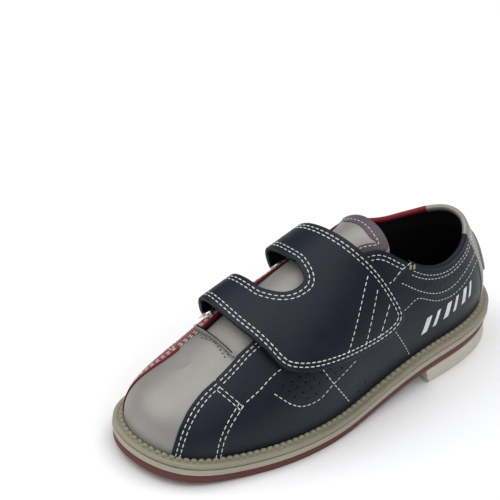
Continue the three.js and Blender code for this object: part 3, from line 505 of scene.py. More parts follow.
class Thread:
    """Gathers the stitches of one group of seams into one piece."""

    def __init__(self):
        self.bm = bmesh.new()

    def sew(self, surface, uv, lift, size=STITCH, sink=0.05):
        """Even stitches along a line laid on the surface."""
        place, _, _, n = surface.frames(resample(surface, uv, lift), lift)
        self.stitch(place, n, size, sink)

    def stitch(self, place, n, size=STITCH, sink=0.05):
        """Even stitches along places in space, with the way up at each."""
        lengths = np.r_[0, np.cumsum(np.linalg.norm(np.diff(place, axis=0), axis=1))]
        pitch = size["length"] + size["gap"]
        count = max(1, int((lengths[-1] + size["gap"]) / pitch))
        pitch = (lengths[-1] + size["gap"]) / count
        for i in range(count):
            ends = [i * pitch, (i + 1) * pitch - size["gap"]]
            a, b, up = (np.array([np.interp(x, lengths, array[:, c]) for c in range(3)])
                        for x, array in ((ends[0], place), (ends[1], place),
                                         (sum(ends) / 2, n)))
            along = Vector(b - a)
            up = Vector(up).normalized()
            across = up.cross(along).normalized()
            middle = Vector((a + b) / 2) - up * sink
            shake = 1 + 0.06 * rng.standard_normal()
            matrix = Matrix((along, across * size["width"] * shake, up * size["height"]))
            matrix = Matrix.Translation(middle) @ matrix.transposed().to_4x4()
            bmesh.ops.create_uvsphere(self.bm, u_segments=6, v_segments=5, radius=0.5,
                                      matrix=matrix @ TURNED)

    def done(self, name):
        return make_object(name, self.bm, 180)


TURNED = Matrix.Rotation(math.pi / 2, 4, "Y")        # a sphere's poles go to its stitch's ends


def resample(surface, uv, lift, step=0.4):
    """The same line with points every `step` mm or so."""
    place = surface.frames(uv, lift)[0]
    lengths = np.r_[0, np.cumsum(np.linalg.norm(np.diff(place, axis=0), axis=1))]
    at = np.linspace(0, lengths[-1], max(3, int(lengths[-1] / step)))
    return np.stack([np.interp(at, lengths, uv[:, c]) for c in (0, 1)], axis=1)


def softened(line, reach):
    """A running mean along a line, which keeps its ends."""
    ends = np.concatenate([np.repeat(line[:1], reach, 0), line, np.repeat(line[-1:], reach, 0)])
    mean = np.ones(2 * reach + 1) / (2 * reach + 1)
    return np.stack([np.convolve(column, mean, "valid") for column in ends.T], axis=1)


def mirrored(uv, side):
    return uv * np.array([side, 1])


# ---- perforations ----------------------------------------------------------------------------
def inside(points, region):
    """Which points lie in a polygon, and how far each is from its edge."""
    a, b = region, np.roll(region, -1, axis=0)
    crossed = np.zeros(len(points), bool)
    nearest = np.full(len(points), 1e9)
    for p, q in zip(a, b):
        hit = (p[1] > points[:, 1]) != (q[1] > points[:, 1])
        with np.errstate(divide="ignore", invalid="ignore"):
            x = (q[0] - p[0]) * (points[:, 1] - p[1]) / (q[1] - p[1]) + p[0]
        crossed ^= hit & (points[:, 0] < x)
        way = q - p
        t = np.clip(((points - p) @ way) / (way @ way + 1e-12), 0, 1)
        nearest = np.minimum(nearest, np.linalg.norm(points - p - t[:, None] * way, axis=1))
    return crossed, nearest


def field(surface, region, pitch, margin, radius=0.62, slant=0.0):
    """Round holes on a staggered pattern inside a region given in (u, v)."""
    scale = np.array(surface.lengths)
    flat = region * scale
    low, high = flat.min(0), flat.max(0)
    holes = []
    for j, y in enumerate(np.arange(low[1], high[1], pitch * 0.87)):
        for x in np.arange(low[0] + pitch / 2 * (j % 2) + slant * j, high[0], pitch):
            holes.append((x, y))
    if not holes:
        return []
    holes = np.array(holes)
    crossed, nearest = inside(holes, flat)
    kept = holes[crossed & (nearest > margin)] / scale
    return [surface.oval(c, radius, count=10) for c in kept]


# ---- materials -------------------------------------------------------------------------------
class Look:
    """A procedural material on Object coordinates, in metres."""

    def __init__(self, name):
        self.material = bpy.data.materials.new(name)
        self.material.use_nodes = True
        self.tree = self.material.node_tree
        self.shader = self.tree.nodes["Principled BSDF"]
        self.place = self.tree.nodes.new("ShaderNodeTexCoord").outputs["Object"]

    def node(self, kind, links=(), **values):
        made = self.tree.nodes.new("ShaderNode" + kind)
        for key, value in values.items():
            if key in made.inputs.keys():
                made.inputs[key].default_value = value
            else:
                setattr(made, key, value)
        for key, source in dict(links).items():
            self.tree.links.new(source, made.inputs[key])
        return made

    def scaled(self, scale):
        return self.node("Mapping", {"Vector": self.place}, Scale=scale).outputs["Vector"]

    def noise(self, scale, detail=3.0, roughness=0.6, stretch=(1, 1, 1)):
        vector = self.scaled(stretch)
        return self.node("TexNoise", {"Vector": vector}, Scale=scale, Detail=detail,
                         Roughness=roughness).outputs["Fac"]

    def cells(self, scale, feature="F1"):
        return self.node("TexVoronoi", {"Vector": self.place}, Scale=scale,
                         feature=feature).outputs["Distance"]

    def spread(self, source, low, high, from_low=0.3, from_high=0.7):
        made = self.node("MapRange", {"Value": source})
        for key, value in (("From Min", from_low), ("From Max", from_high), ("To Min", low),
                           ("To Max", high)):
            made.inputs[key].default_value = value
        return made.outputs["Result"]

    def blend(self, factor, first, second, kind="MIX"):
        made = self.node("MixRGB", {"Fac": factor}, blend_type=kind)
        for key, value in (("Color1", first), ("Color2", second)):
            if isinstance(value, tuple):
                made.inputs[key].default_value = (*value, 1)
            else:
                self.tree.links.new(value, made.inputs[key])
        return made.outputs["Color"]

    def sum(self, *weighted):
        """Adds heights, each with its weight."""
        total = None
        for source, weight in weighted:
            part = self.node("Math", {0: source}, operation="MULTIPLY")
            part.inputs[1].default_value = weight
            if total is not None:
                joined = self.node("Math", {0: total, 1: part.outputs[0]}, operation="ADD")
                total = joined.outputs[0]
            else:
                total = part.outputs[0]
        return total

    def finish(self, colour=None, roughness=None, height=None, depth=1e-4, **values):
        for key, source in (("Base Color", colour), ("Roughness", roughness)):
            if source is not None:
                self.tree.links.new(source, self.shader.inputs[key])
        if height is not None:
            bump = self.node("Bump", {"Height": height}, Distance=depth, Strength=1.0)
            self.tree.links.new(bump.outputs["Normal"], self.shader.inputs["Normal"])
        for key, value in values.items():
            self.shader.inputs[key.replace("_", " ")].default_value = value
        return self.material


def tint(colour, factor):
    return tuple(min(1.0, c * factor) for c in colour)


def leather(name, colour, shine=0.42, depth=6e-5):
    """Corrected-grain leather: pebbled grain, pores, soft mottling and uneven gloss."""
    look = Look(name)
    grain = look.cells(1150)
    pores = look.noise(2600, 4)
    creases = look.noise(170, 5, 0.7, (1, 1, 2.2))
    mottle = look.noise(55, 4)
    base = look.blend(look.spread(mottle, 0, 1), tint(colour, 0.84), tint(colour, 1.18))
    base = look.blend(look.spread(grain, 0, 0.35, 0.1, 0.6), base, tint(colour, 0.6))
    gloss = look.spread(mottle, shine - 0.05, shine + 0.1)
    height = look.sum((grain, 1.0), (pores, 0.5), (creases, 1.6))
    return look.finish(base, gloss, height, depth, Coat_Weight=0.02, Coat_Roughness=0.35,
                       Specular_IOR_Level=0.24)


def metallic_leather(name, colour):
    """Silver-coated leather: fine flakes under a clear finish, over a soft grain."""
    look = Look(name)
    flakes = look.cells(5200)
    grain = look.cells(900)
    mottle = look.noise(60, 4)
    fine = look.noise(3000, 3)
    base = look.blend(look.spread(mottle, 0, 1), tint(colour, 0.93), tint(colour, 1.07))
    base = look.blend(look.spread(flakes, 0, 0.3, 0.1, 0.7), base, tint(colour, 0.72))
    gloss = look.spread(fine, 0.48, 0.6)
    height = look.sum((grain, 0.7), (fine, 0.5), (look.noise(200, 5, 0.7), 1.4))
    return look.finish(base, gloss, height, 5e-5, Metallic=0.5, Coat_Weight=0.03,
                       Coat_Roughness=0.35)


def textile(name, colour, pitch=1500):
    """A fine knitted lining."""
    look = Look(name)
    cells = look.cells(pitch)
    fibre = look.noise(4200, 4)
    base = look.blend(look.spread(cells, 0, 1, 0.1, 0.6), tint(colour, 1.35), tint(colour, 0.5))
    base = look.blend(look.spread(look.noise(40), 0, 0.3), base, tint(colour, 0.7))
    return look.finish(base, None, look.sum((cells, 1.0), (fibre, 0.6)), 1.5e-4, Roughness=0.95,
                       Specular_IOR_Level=0.1)


def rubber(name, colour, speck=0.8, depth=8e-5, stretch=(1, 1, 7), rough=0.72):
    """A ground and polished sole edge, with marks of the wheel along it."""
    look = Look(name)
    ground = look.noise(260, 5, 0.75, stretch)
    fine = look.noise(1800, 3)
    stain = look.noise(35, 4)
    base = look.blend(look.spread(ground, 0, 1), tint(colour, speck), tint(colour, 1.12))
    base = look.blend(look.spread(stain, 0, 0.35), base, tint(colour, 0.72))
    gloss = look.spread(fine, rough - 0.08, rough + 0.1)
    return look.finish(base, gloss, look.sum((ground, 1.0), (fine, 0.5)), depth)


def thread(name, colour):
    look = Look(name)
    twist = look.noise(2400, 2, 0.5)
    base = look.blend(look.spread(twist, 0, 1), tint(colour, 0.72), tint(colour, 1.05))
    return look.finish(base, None, twist, 6e-5, Roughness=0.6, Sheen_Weight=0.3)


def metal(name, colour, rough=0.22):
    look = Look(name)
    wear = look.noise(420, 4)
    base = look.blend(look.spread(wear, 0, 1), tint(colour, 0.88), tint(colour, 1.05))
    gloss = look.spread(wear, rough - 0.05, rough + 0.12)
    return look.finish(base, gloss, look.noise(1500, 2), 8e-6, Metallic=1.0)


SILVER = (0.32, 0.314, 0.288)
LOOKS = {
    "silver": metallic_leather("silver_leather", SILVER),
    "navy": leather("navy_leather", (0.0055, 0.009, 0.019)),
    "red": leather("red_leather", (0.19, 0.009, 0.018)),
    "mauve": leather("mauve_binding", (0.105, 0.085, 0.097)),
    "edge_dark": leather("dark_cut_edge", (0.006, 0.007, 0.01), 0.6),
    "edge_grey": leather("grey_cut_edge", (0.27, 0.26, 0.24), 0.7),
    "edge_red": leather("red_cut_edge", (0.09, 0.005, 0.01), 0.6),
    "lining": textile("black_lining", (0.010, 0.010, 0.011)),
    "board": textile("fibre_board", (0.42, 0.31, 0.19), 1200),
    "pile": textile("fastener_pile", (0.012, 0.012, 0.014), 700),
    "cork": rubber("cork", (0.33, 0.19, 0.09), 0.5, 2e-4, (1, 1, 1), 0.9),
    "outsole": rubber("brown_outsole", (0.135, 0.040, 0.031), 0.7, 1.4e-4),
    "midsole": rubber("beige_midsole", (0.42, 0.385, 0.30), 0.9),
    "welt": rubber("beige_welt", (0.32, 0.29, 0.21), 0.86),
    "heel": rubber("white_heel", (0.60, 0.57, 0.48), 0.92),
    "thread": thread("white_thread", (0.80, 0.79, 0.72)),
    # dark lumps over the vamp's empty needle holes, no thread: painted shade of the holes
    "dark_thread": thread("painted_needle_hole_shade", (0.035, 0.035, 0.033)),
    "ecru": thread("ecru_thread", (0.52, 0.46, 0.26)),
    "nickel": metal("nickel", (0.63, 0.60, 0.55)),
    "steel": metal("shank_steel", (0.42, 0.43, 0.45), 0.35),
    "patch": leather("white_patch", (0.72, 0.70, 0.64), 0.55),
    "print": leather("white_print", (0.82, 0.82, 0.80), 0.5),
    "ink": leather("dark_ink", (0.02, 0.02, 0.025), 0.5),
    "red_ink": leather("red_ink", (0.45, 0.02, 0.02), 0.5),
}
EDGES = {"silver": "edge_grey", "navy": "edge_dark", "red": "edge_red"}


def dress(piece, look, slot, *nodes, body="shoe"):
    """Gives a piece its material, its body and the nodes that it stands for. Its `slot` is not used."""
    piece.data.materials.append(LOOKS[look])
    piece.data.materials.append(LOOKS[EDGES.get(look, look)])
    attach(piece, body)
    if nodes:
        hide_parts(*nodes)
    return piece


SLOTS = {"silver": "silver_leather", "navy": "navy_leather", "red": "red_leather"}
SIDES = {"lateral": (1, "navy"), "medial": (-1, "red")}


# ---- strap, eyelets ---------------------------------------------------------------------------
EYELET = {"long": 20.5, "short": 6.5, "wall": 0.7, "flange": 2.0, "height": 1.5}
ARM_WIDTH = 18.5
EYELET_PLACES = (-0.345, -0.478)
EYELET_BELOW_EDGE = 9.5
ARM_LEAN = math.radians(44)
HINGE_LIFT = 3.0
STRAP_BASE = 3.2
FLAP_TOP = 0.89
FLAP_TOP_LINE = (0.305, 0.229)                   # s where the flap's top starts, and its run
ARM_CROTCH = 0.13
ARMS = ((0, 0.325), (0.675, 1))
flap_low = spline([(.322, .6), (.336, .512), (.377, .432), (.437, .377), (.508, .334),
                   (.545, .338), (.565, .372), (.571, .43)])


def walk_down(s, v, distance):
    """The v reached by going down the wall from v by a distance."""
    step = 0.002
    while distance > 0:
        pair = last_point(np.array([s, s]), np.array([v, v - step]))
        distance -= np.linalg.norm(pair[1] - pair[0])
        v -= step
    return v


def find_eyelets():
    found = []
    for s in EYELET_PLACES:
        v = walk_down(s, throat_v(np.array([s]))[0], EYELET_BELOW_EDGE)
        uv = (np.array([s]), np.array([v]))
        found.append({"s": s, "v": v, "at": last_point(*uv)[0], "out": normals(last_point, *uv)[0]})
    line = found[1]["at"] - found[0]["at"]
    line /= np.linalg.norm(line)
    for e in found:
        e["out"] -= (e["out"] @ line) * line
        e["out"] /= np.linalg.norm(e["out"])
        e["up"] = np.cross(e["out"], line)
        e["up"] *= np.sign(e["up"][0])
    return found, line


eyelets, strap_line = find_eyelets()


def bezier(p0, p1, p2, p3, t):
    u = 1 - t
    return u ** 3 * p0 + 3 * u * u * t * p1 + 3 * u * t * t * p2 + t ** 3 * p3


def flap_place(a, q):
    """Where share a along the flap and share q up it lie on the last."""
    low = flap_low(a)
    top = FLAP_TOP_LINE[0] + FLAP_TOP_LINE[1] * a
    return (low[:, 0] + (top - low[:, 0]) * q,
            low[:, 1] + (FLAP_TOP - low[:, 1]) * q)


def flap_point(a, q):
    s, v = flap_place(a, q)
    return on_last(s, v, np.full(len(s), STRAP_BASE))


def strap_under(a, w):
    """The strap's under face: w goes up the flap to 0.5, along the arms to the hinge line at 1
    and down into the eyelets past it."""
    a, w = np.asarray(a, float), np.asarray(w, float)
    flap = flap_point(a, np.minimum(w, 0.5) * 2)
    start = flap_point(a, np.ones_like(a))
    way = start - flap_point(a, np.full_like(a, 0.98))
    way /= np.linalg.norm(way, axis=1)[:, None]
    rear = a >= 0.5
    low = np.where(rear, ARMS[1][0], ARMS[0][0])
    high = np.where(rear, ARMS[1][1], ARMS[0][1])
    across = (((a - low) / (high - low) - 0.5) * ARM_WIDTH)[:, None]
    at, out, up = (np.where(rear[:, None], eyelets[1][k], eyelets[0][k]) for k in ("at", "out", "up"))
    foot = at + across * strap_line
    end = foot + out * HINGE_LIFT
    back = out * math.cos(ARM_LEAN) + up * math.sin(ARM_LEAN)
    reach = np.linalg.norm(end - start, axis=1)[:, None]
    t = np.clip((w - 0.5) * 2, 0, 1)[:, None]
    arm = bezier(start, start + way * reach * 0.42, end + back * reach * 0.5, end, t)
    q = np.clip((w - 1) / 0.12, 0, 1)[:, None]
    slot = bezier(end, end - back * 2, foot + up * 0.8 + out * 0.6, foot + up * 0.8 - out * 3.4, q)
    w = w[:, None]
    return np.where(w <= 0.5, flap, np.where(w <= 1, arm, slot))


def strap_point(a, w, lift):
    """A point over the strap's under face, which runs on straight past its two long edges."""
    a, step = np.asarray(a, float), 1e-3
    inner = np.clip(a, 2 * step, 1 - 2 * step)
    n = normals(strap_under, inner, np.clip(w, 0, 1.115))
    across = (strap_under(inner + step, w) - strap_under(inner - step, w)) / (2 * step)
    past = across * (a - inner)[:, None]
    return strap_under(inner, w) + past + n * np.asarray(lift, float).reshape(-1, 1)


STRAP_WIDE, STRAP_TALL = 58, 76
strap = Surface(strap_point, (STRAP_WIDE, STRAP_TALL))
STRAP_TOP, STRAP_LEATHER = 2.7, 1.7
ARM_SEAM = 0.93                                  # where an arm's turned end takes over


def crotch(count=25):
    """The rounded cut between the arms, from the front arm to the rear one."""
    g = np.linspace(0, 1, count)
    a = ARMS[0][1] + g * (ARMS[1][0] - ARMS[0][1])
    return np.stack([a, 0.5 + ARM_CROTCH * np.abs(2 * g - 1) ** 2.5], axis=1)


def strap_edge(top):
    """The strap's outline: round the flap, up the rear arm, round the cut, and up the front."""
    low = np.stack([np.linspace(0, 1, 30), np.zeros(30)], axis=1)
    ends = [(1, top), (ARMS[1][0], top)]
    return np.concatenate([low, ends, crotch()[::-1], [(ARMS[0][1], top), (0, top)]])


# ---- sole ------------------------------------------------------------------------------------
def sole_layer(name, section, bottom, top, rungs=110, start=0.0, lean=0.0, caps=False):
    """A layer of the sole: `section` lists (out, height) down its side, as a share of its
    thickness; both sides and the flat faces between them close each rung."""
    ring = [(1, o, h) for o, h in section] + [(-1, o, h) for o, h in section[::-1]]

    def point(t, q):
        k = start + (STATIONS - start) * t
        place = row_of_points(ring, q)
        side, out, share = place.T
        x, y = outline(np.where(side > 0, k, -k), out)
        y = y + lean * (1 - t) * (1 - share)
        low, high = bottom(y), top(y)
        return np.stack([x, y, low + (high - low) * share], axis=1)
    return grid_piece(name, rungs, len(ring), point, caps=caps)


def rounded_side(out, roll, bulge=0.0):
    """A side wall from its top edge to its bottom one, with rolled corners."""
    return [(out - 9, 1), (out - roll * 2, 1), (out - roll * 0.3, 0.95), (out, 0.85),
            (out + bulge, 0.5), (out, 0.15), (out - roll * 0.3, 0.05), (out - roll * 2, 0),
            (out - 9, 0)]


def make_sole():
    ledge = WELT_LEDGE
    outsole = sole_layer("outsole_edge", rounded_side(ledge - 0.8, 0.4, 0.15), ground_z,
                         outsole_top)
    dress(outsole, "outsole", "outsole_brown", "outsole")
    midsole = sole_layer("midsole_layer", rounded_side(ledge, 0.35, 0.2),
                         lambda y: outsole_top(y) + 0.05, lambda y: midsole_top(y) + 0.1)
    dress(midsole, "midsole", "midsole_beige", "midsole")
    start = solve(lambda k: outline(k)[1], HEEL_FRONT, 3, STATIONS - 0.5, (1,))[0]
    heel = sole_layer("heel_lift", rounded_side(ledge - 0.8, 0.5, -0.25),
                      lambda y: 0 * y, lambda y: ground_z(y) - 0.1, 60, start,
                      HEEL_FACE_SLOPE, caps=True)
    dress(heel, "heel", "heel_offwhite", "heel_block")


SCALLOP = {"pitch": 3.7, "from": -0.2, "to": 2.2, "low": 0.15, "high": 1.6}


def make_welt():
    """A flat strip round the upper, with a scalloped bead against it and a groove."""
    stations = np.linspace(0, 2 * STATIONS, 2000)
    edge = np.stack(outline(stations, SCALLOP["to"]), axis=1)
    lengths = np.r_[0, np.cumsum(np.linalg.norm(np.diff(edge, axis=0), axis=1))]
    count = round(lengths[-1] / SCALLOP["pitch"])
    middle = (SCALLOP["from"] + SCALLOP["to"]) / 2
    half = (SCALLOP["to"] - SCALLOP["from"]) / 2
    bead = [(middle + half * math.cos(a), math.sin(a)) for a in np.linspace(math.pi, 0, 8)]
    flat = [(2.25, -0.45), (2.6, -0.5), (2.9, -0.05), (3.6, 0.0), (4.35, -0.05), (4.8, -0.25),
            (5.0, -0.7), (5.05, -1.3), (4.95, -2.0), (4.6, -2.2), (-6, -2.2), (-6, 0)]
    ring = [(o, h, 1) for o, h in bead] + [(o, h, 0) for o, h in flat]

    def point(t, q):
        out, height, is_bead = row_of_points(ring, q).T
        wave = np.abs(np.sin(math.pi * t * count)) ** 0.6
        rise = SCALLOP["low"] + (SCALLOP["high"] - SCALLOP["low"]) * wave
        shift = -0.7 * (1 - wave) * is_bead * (out > middle)
        x, y = outline(np.interp(t * lengths[-1], lengths, stations), out + shift)
        height = np.where(is_bead > 0, height * rise, height)
        return np.stack([x, y, feather_z(y) + height], axis=1)
    welt = grid_piece("scalloped_welt", count * 8, len(ring), point, 65)
    dress(welt, "welt", "welt_beige", "welt")


# ---- upper -----------------------------------------------------------------------------------
LAP = 2.6                   # how far a lower panel runs on under the one that is sewn over it
LIFTS = {"vamp": 0.0, "quarter": 0.0, "collar": 0.3, "facing": 0.5, "wing": 0.75, "counter": 0.55}
HOLE = 0.8
FACING_END, ROLL_START = 0.62, 0.621


def closed(*parts):
    return np.concatenate(parts)


def make_vamp():
    """The toe: two halves of one sheet that meet along the top of the last."""
    seam = last.beside(run(vamp_front, 40), -LAP)
    ridge_end = THROAT_START - 0.008
    right = closed(seam[seam[:, 1] > 0.002], [(THROAT_START, 0.80), (ridge_end, 1.0)])
    left = mirrored(right, -1)[::-1]
    start = last.beside(run(vamp_front, 3), -LAP)[0, 0]
    edge = closed([(-start, -0.004), (0, -0.004), (start, -0.004)], right, [(0, 1.0)], left)
    vamp = plate("vamp_leather", last, edge, LIFTS["vamp"],
                 joined=lambda e: all(abs(v.co.y - last.lengths[1]) < 1e-3 for v in e.verts))
    dress(vamp, "silver", "silver_leather", "vamp")


def eyelet_cut(e, grow, count=28):
    """The slot cut for an eyelet, `grow` outside its opening."""
    half = EYELET["short"] / 2 + grow
    straight = (EYELET["long"] - EYELET["short"]) / 2
    angles = np.arange(count) * 2 * math.pi / count
    c, s = np.cos(angles), np.sin(angles)
    along = half * c + straight * np.sign(c) * np.minimum(1, np.abs(c) * 4) * (np.abs(c) > 1e-9)
    way = along[:, None] * strap_line + (half * s)[:, None] * e["up"]
    return last.around((e["s"], e["v"]), way)


def quarter_top(side, count=60):
    facing = run(FACING_LOWS[side], count // 2)
    return closed(facing, run(collar_low, count // 2)[1:])


def make_side(name):
    side, look = SIDES[name]
    back = COUNTER_EDGE + LAP / LAST_ROUND
    # wing
    edge = closed(run(wing_front, 24), run(wing_top, 12), run(wing_back, 12)[::-1][1:])
    wing = plate(f"{name}_wing_leather", last, mirrored(edge, side), LIFTS["wing"], 1.6)
    dress(wing, look, SLOTS[look], f"{name}_wing")
    # facing
    top_s = np.linspace(THROAT_START + 0.002, FACING_END, 44)
    top = np.stack([top_s, edge_v(side * top_s) - 0.012], axis=1)
    seam = run(vamp_front, 40)
    seam = seam[seam[:, 0] > 0.207]
    seam = seam[seam[:, 1] < top[0, 1] - 0.01]
    low = run(FACING_LOWS[side], 30)
    under_wing = last.beside(run(wing_top, 12)[1:], -LAP)
    under_wing = under_wing[under_wing[:, 1] < 0.66]
    edge = closed(under_wing, low, run(collar_front, 8)[1:-1], top[::-1], seam[::-1])
    holes = []
    if side < 0:
        holes = [eyelet_cut(e, 1.0) for e in eyelets]
    facing = plate(f"{name}_facing_leather", last, mirrored(edge, side), LIFTS["facing"], 1.6,
                   holes)
    dress(facing, look, SLOTS[look], f"{name}_facing")
    # quarter
    top = last.beside(quarter_top(side), LAP)
    top = top[(top[:, 0] < COUNTER_EDGE)]
    front = last.beside(run(wing_back, 12)[1:], LAP)
    edge = closed([(front[0, 0], -0.004)], [(s, -0.004) for s in np.linspace(.23, back, 40)],
                  [(back, 0.2), (back, 0.40)], top[::-1], front[::-1])
    crescent = closed(run(scallop, 24), run(FACING_LOWS[side], 30, 0.9, 0.12))
    pocket = closed(run(lower_row, 20, 0, 0.25), run(collar_low, 20, 0.4, 0.06))
    holes = field(last, mirrored(crescent, side), 3.9, 2.6, HOLE)
    holes += field(last, mirrored(pocket, side), 3.9, 1.7, HOLE)
    holes += [last.oval((side * s, v), HOLE, count=10)
              for s, v in ((.493, .105), (.482, .068), (.469, .04))]
    quarter = plate(f"{name}_quarter_leather", last, mirrored(edge, side), LIFTS["quarter"], 1.2,
                    holes)
    dress(quarter, look, SLOTS[look], f"{name}_quarter")
    # collar panel
    top_s = np.linspace(COLLAR_START + 0.004, back, 40)
    top = np.stack([top_s, topline_v(side * top_s) - 0.016], axis=1)
    low = run(collar_low, 40)
    front = last.beside(run(collar_front, 8)[1:-1], LAP * 0.5)
    edge = closed(low, [(back, 0.42)], top[::-1], front[::-1])
    band = closed(low[3:], [(back, 0.42)], top[::-1])
    holes = field(last, mirrored(band, side), 3.6, 4.3, 0.6)
    collar = plate(f"{name}_collar_leather", last, mirrored(edge, side), LIFTS["collar"], 1.4,
                   holes)
    dress(collar, look, SLOTS[look], f"{name}_collar_panel")


def make_counter():
    s = np.linspace(COUNTER_EDGE, 2 - COUNTER_EDGE, 60)
    top = np.stack([s, topline_v(s) - 0.016], axis=1)
    low = np.stack([s, np.full(60, -0.004)], axis=1)
    counter = plate("heel_counter_leather", last, closed(low, top[::-1]), LIFTS["counter"], 1.7)
    dress(counter, "silver", "silver_leather", "heel_counter")


def lined_point(s, v, lift):
    """The lining comes up to the leather along the topline and the throat."""
    s = np.asarray(s, float)
    near = smoothstep(np.asarray(v, float), edge_v(s) - 0.12, edge_v(s) - 0.02)
    return on_last(s, v, np.asarray(lift, float) + 2.0 * near)


def make_linings():
    lined = Surface(lined_point, last.lengths)
    for name, (side, _) in SIDES.items():
        low = np.linspace(0.256, 0.9995, 50)
        top_s = np.linspace(THROAT_START + 0.006, 0.9995, 70)
        top = np.stack([top_s, edge_v(side * top_s) - 0.014], axis=1)
        edge = closed(np.stack([low, np.full(50, 0.01)], axis=1), top[::-1])
        holes = []
        if side < 0:
            holes = [eyelet_cut(e, 1.6) for e in eyelets]
        piece = plate(f"{name}_lining_cloth", lined, mirrored(edge, side), -3.4, 0.9, holes, 0.15, 3)
        dress(piece, "lining", "black_textile", f"{name}_quarter_lining")


def binding(name, look, slot, start, end, *nodes):
    """A rolled edge round part of the foot opening, over s from start to end."""
    radius, count = 1.0, round(abs(end - start) * 330)

    def point(t, q):
        s = start + (end - start) * t
        angle = 2 * math.pi * q
        up = 1.35 * np.sin(angle) * radius / LAST_TALL
        v = topline_v(s) + up
        return on_last(np.where(s > 1, s - 2, s), v, -0.95 + 1.5 * np.cos(angle))
    piece = grid_piece(name, count, 14, point, caps=True)
    dress(piece, look, slot, *nodes)


def make_bindings():
    binding("lateral_topline_roll", "navy", "navy_leather", ROLL_START, COUNTER_EDGE,
            "topline_binding")
    binding("medial_topline_roll", "red", "red_leather", -ROLL_START, -COUNTER_EDGE,
            "topline_binding")
    binding("heel_topline_roll", "silver", "silver_leather", COUNTER_EDGE, 2 - COUNTER_EDGE,
            "topline_binding")


# ---- heel patch --------------------------------------------------------------------------------
PATCH = {"radius": 12, "rim": 14, "place": (1.0, 0.29)}


def make_patch():
    ring = plate("size_patch_frame", last, last.oval(PATCH["place"], PATCH["rim"], count=48), 1.45,
                 0.9, [last.oval(PATCH["place"], PATCH["radius"] - 0.6, count=48)], 0.25)
    dress(ring, "silver", "silver_leather", "size_patch_ring")
    disc = plate("size_patch_face", last, last.oval(PATCH["place"], PATCH["radius"] + 0.2,
                                                    count=48), 1.05, 0.5, (), 0.1)
    dress(disc, "patch", "patch_white", "size_patch")
    figures = (("size_figures", "1.5", 11.5, 1.3, "ink"), ("half_size_figure", "3", 8.5, -7.6, "red_ink"))
    face = 1.1                                   # how far the patch's face stands off the last
    _, du, dv, _ = last.frames(np.array([PATCH["place"]]), face)
    across, up = (step[0] / np.linalg.norm(step[0]) for step in (du, dv))
    for name, words, tall, low, look in figures:
        data = bpy.data.curves.new(name, "FONT")
        data.body = words
        data.align_x = "CENTER"
        data.size = tall
        data.extrude = 0.12
        flat = bpy.data.objects.new(name, data)
        bpy.context.scene.collection.objects.link(flat)
        bpy.context.view_layer.update()
        mesh = bpy.data.meshes.new_from_object(flat)
        bpy.data.objects.remove(flat)
        bm = bmesh.new()
        bm.from_mesh(mesh)
        bmesh.ops.remove_doubles(bm, verts=bm.verts, dist=1e-3)
        long = [e for e in bm.edges if e.calc_length() > 1.5]
        bmesh.ops.subdivide_edges(bm, edges=long, cuts=2)

        def lay_figure(x, y, z, low=low):
            way = x[:, None] * across + (y + low)[:, None] * up
            uv = last.around(PATCH["place"], way, face)
            return on_last(uv[:, 0], uv[:, 1], 1.15 + z)
        lay(bm, lay_figure)
        bmesh.ops.recalc_face_normals(bm, faces=bm.faces)
        dress(make_object(name, bm, 30), look, "patch_white")
    bar = np.array([(-6.5, -0.35), (6.5, -0.35), (6.5, 0.35), (-6.5, 0.35)])
    uv = last.around(PATCH["place"], bar[:, :1] * across + bar[:, 1:] * up, face)
    dress(plate("size_bar", last, uv, 1.2, 0.2, (), 0.05), "ink", "patch_white")


def make_stripes():
    """Slanted white bars printed on the outer quarter."""
    for i in range(6):
        t = i / 5
        s, low, high = 0.622 + 0.135 * t, 0.135 + 0.05 * t, 0.235 + 0.055 * t
        wide = 0.0125 if i % 2 == 0 else 0.008
        lean = 0.014
        edge = np.array([(s, low), (s + wide, low + 0.004), (s + wide + lean, high + 0.004),
                         (s + lean, high)])
        bar = plate(f"print_bar_{i + 1}", last, edge, 0.09, 0.15, (), 0.05)
        dress(bar, "print", "patch_white")


# ---- tongue ------------------------------------------------------------------------------------
TONGUE = {"y": [-58.8, -44, -22, 3, 20, 32], "x": [-5.4, -5, -4.5, -4, -4, -4],
          "z": [49, 57.6, 68.9, 79.6, 84.8, 86.4], "fall": [1.4, 2, 3, 4.5, 6.3, 7.2]}
TONGUE_HALF = 12.1
TONGUE_FLARE = {"by": 5.6, "from": 0.76, "to": 0.98}
tongue_rows = {k: spline(list(enumerate(row))) for k, row in TONGUE.items()}


def tongue_row(key, b):
    """A row's value, carried on in a straight line past either end."""
    value = tongue_rows[key](b)[:, 1]
    for end, near, outside in ((0, 0.02, np.minimum(b, 0)), (1, 0.98, np.maximum(b - 1, 0))):
        pair = tongue_rows[key](np.array([end, near]))[:, 1]
        value = value + outside * (pair[0] - pair[1]) / (end - near)
    return value


def tongue_base(a, b):
    x = 2 * np.asarray(a, float) - 1
    b = np.asarray(b, float)
    y = tongue_row("y", b)
    z = FEATHER_GAP + tongue_row("z", b) - tongue_row("fall", b) * x * x
    flare = TONGUE_FLARE["by"] * smoothstep(b, TONGUE_FLARE["from"], TONGUE_FLARE["to"])
    return np.stack([tongue_row("x", b) + x * (TONGUE_HALF + flare) + flare / 4, y, z], axis=1)


def tongue_point(a, b, lift):
    n = normals(tongue_base, np.asarray(a, float), np.clip(b, -0.04, 1.1))
    return tongue_base(a, b) + n * np.asarray(lift, float).reshape(-1, 1)


def tongue_swell(u, v):
    return 0.8 * np.clip(1 - np.abs(2 * u - 1) ** 4, 0, 1) * smoothstep(v, 0.0, 0.2)


TONGUE_SIZE = (24.2, 98)
tongue = Surface(tongue_point, TONGUE_SIZE)
tongue_top = Surface(lambda a, b, lift: tongue_point(a, b, lift + tongue_swell(a, b)), TONGUE_SIZE)
TONGUE_LIFT, BAND = -1.6, 4.4


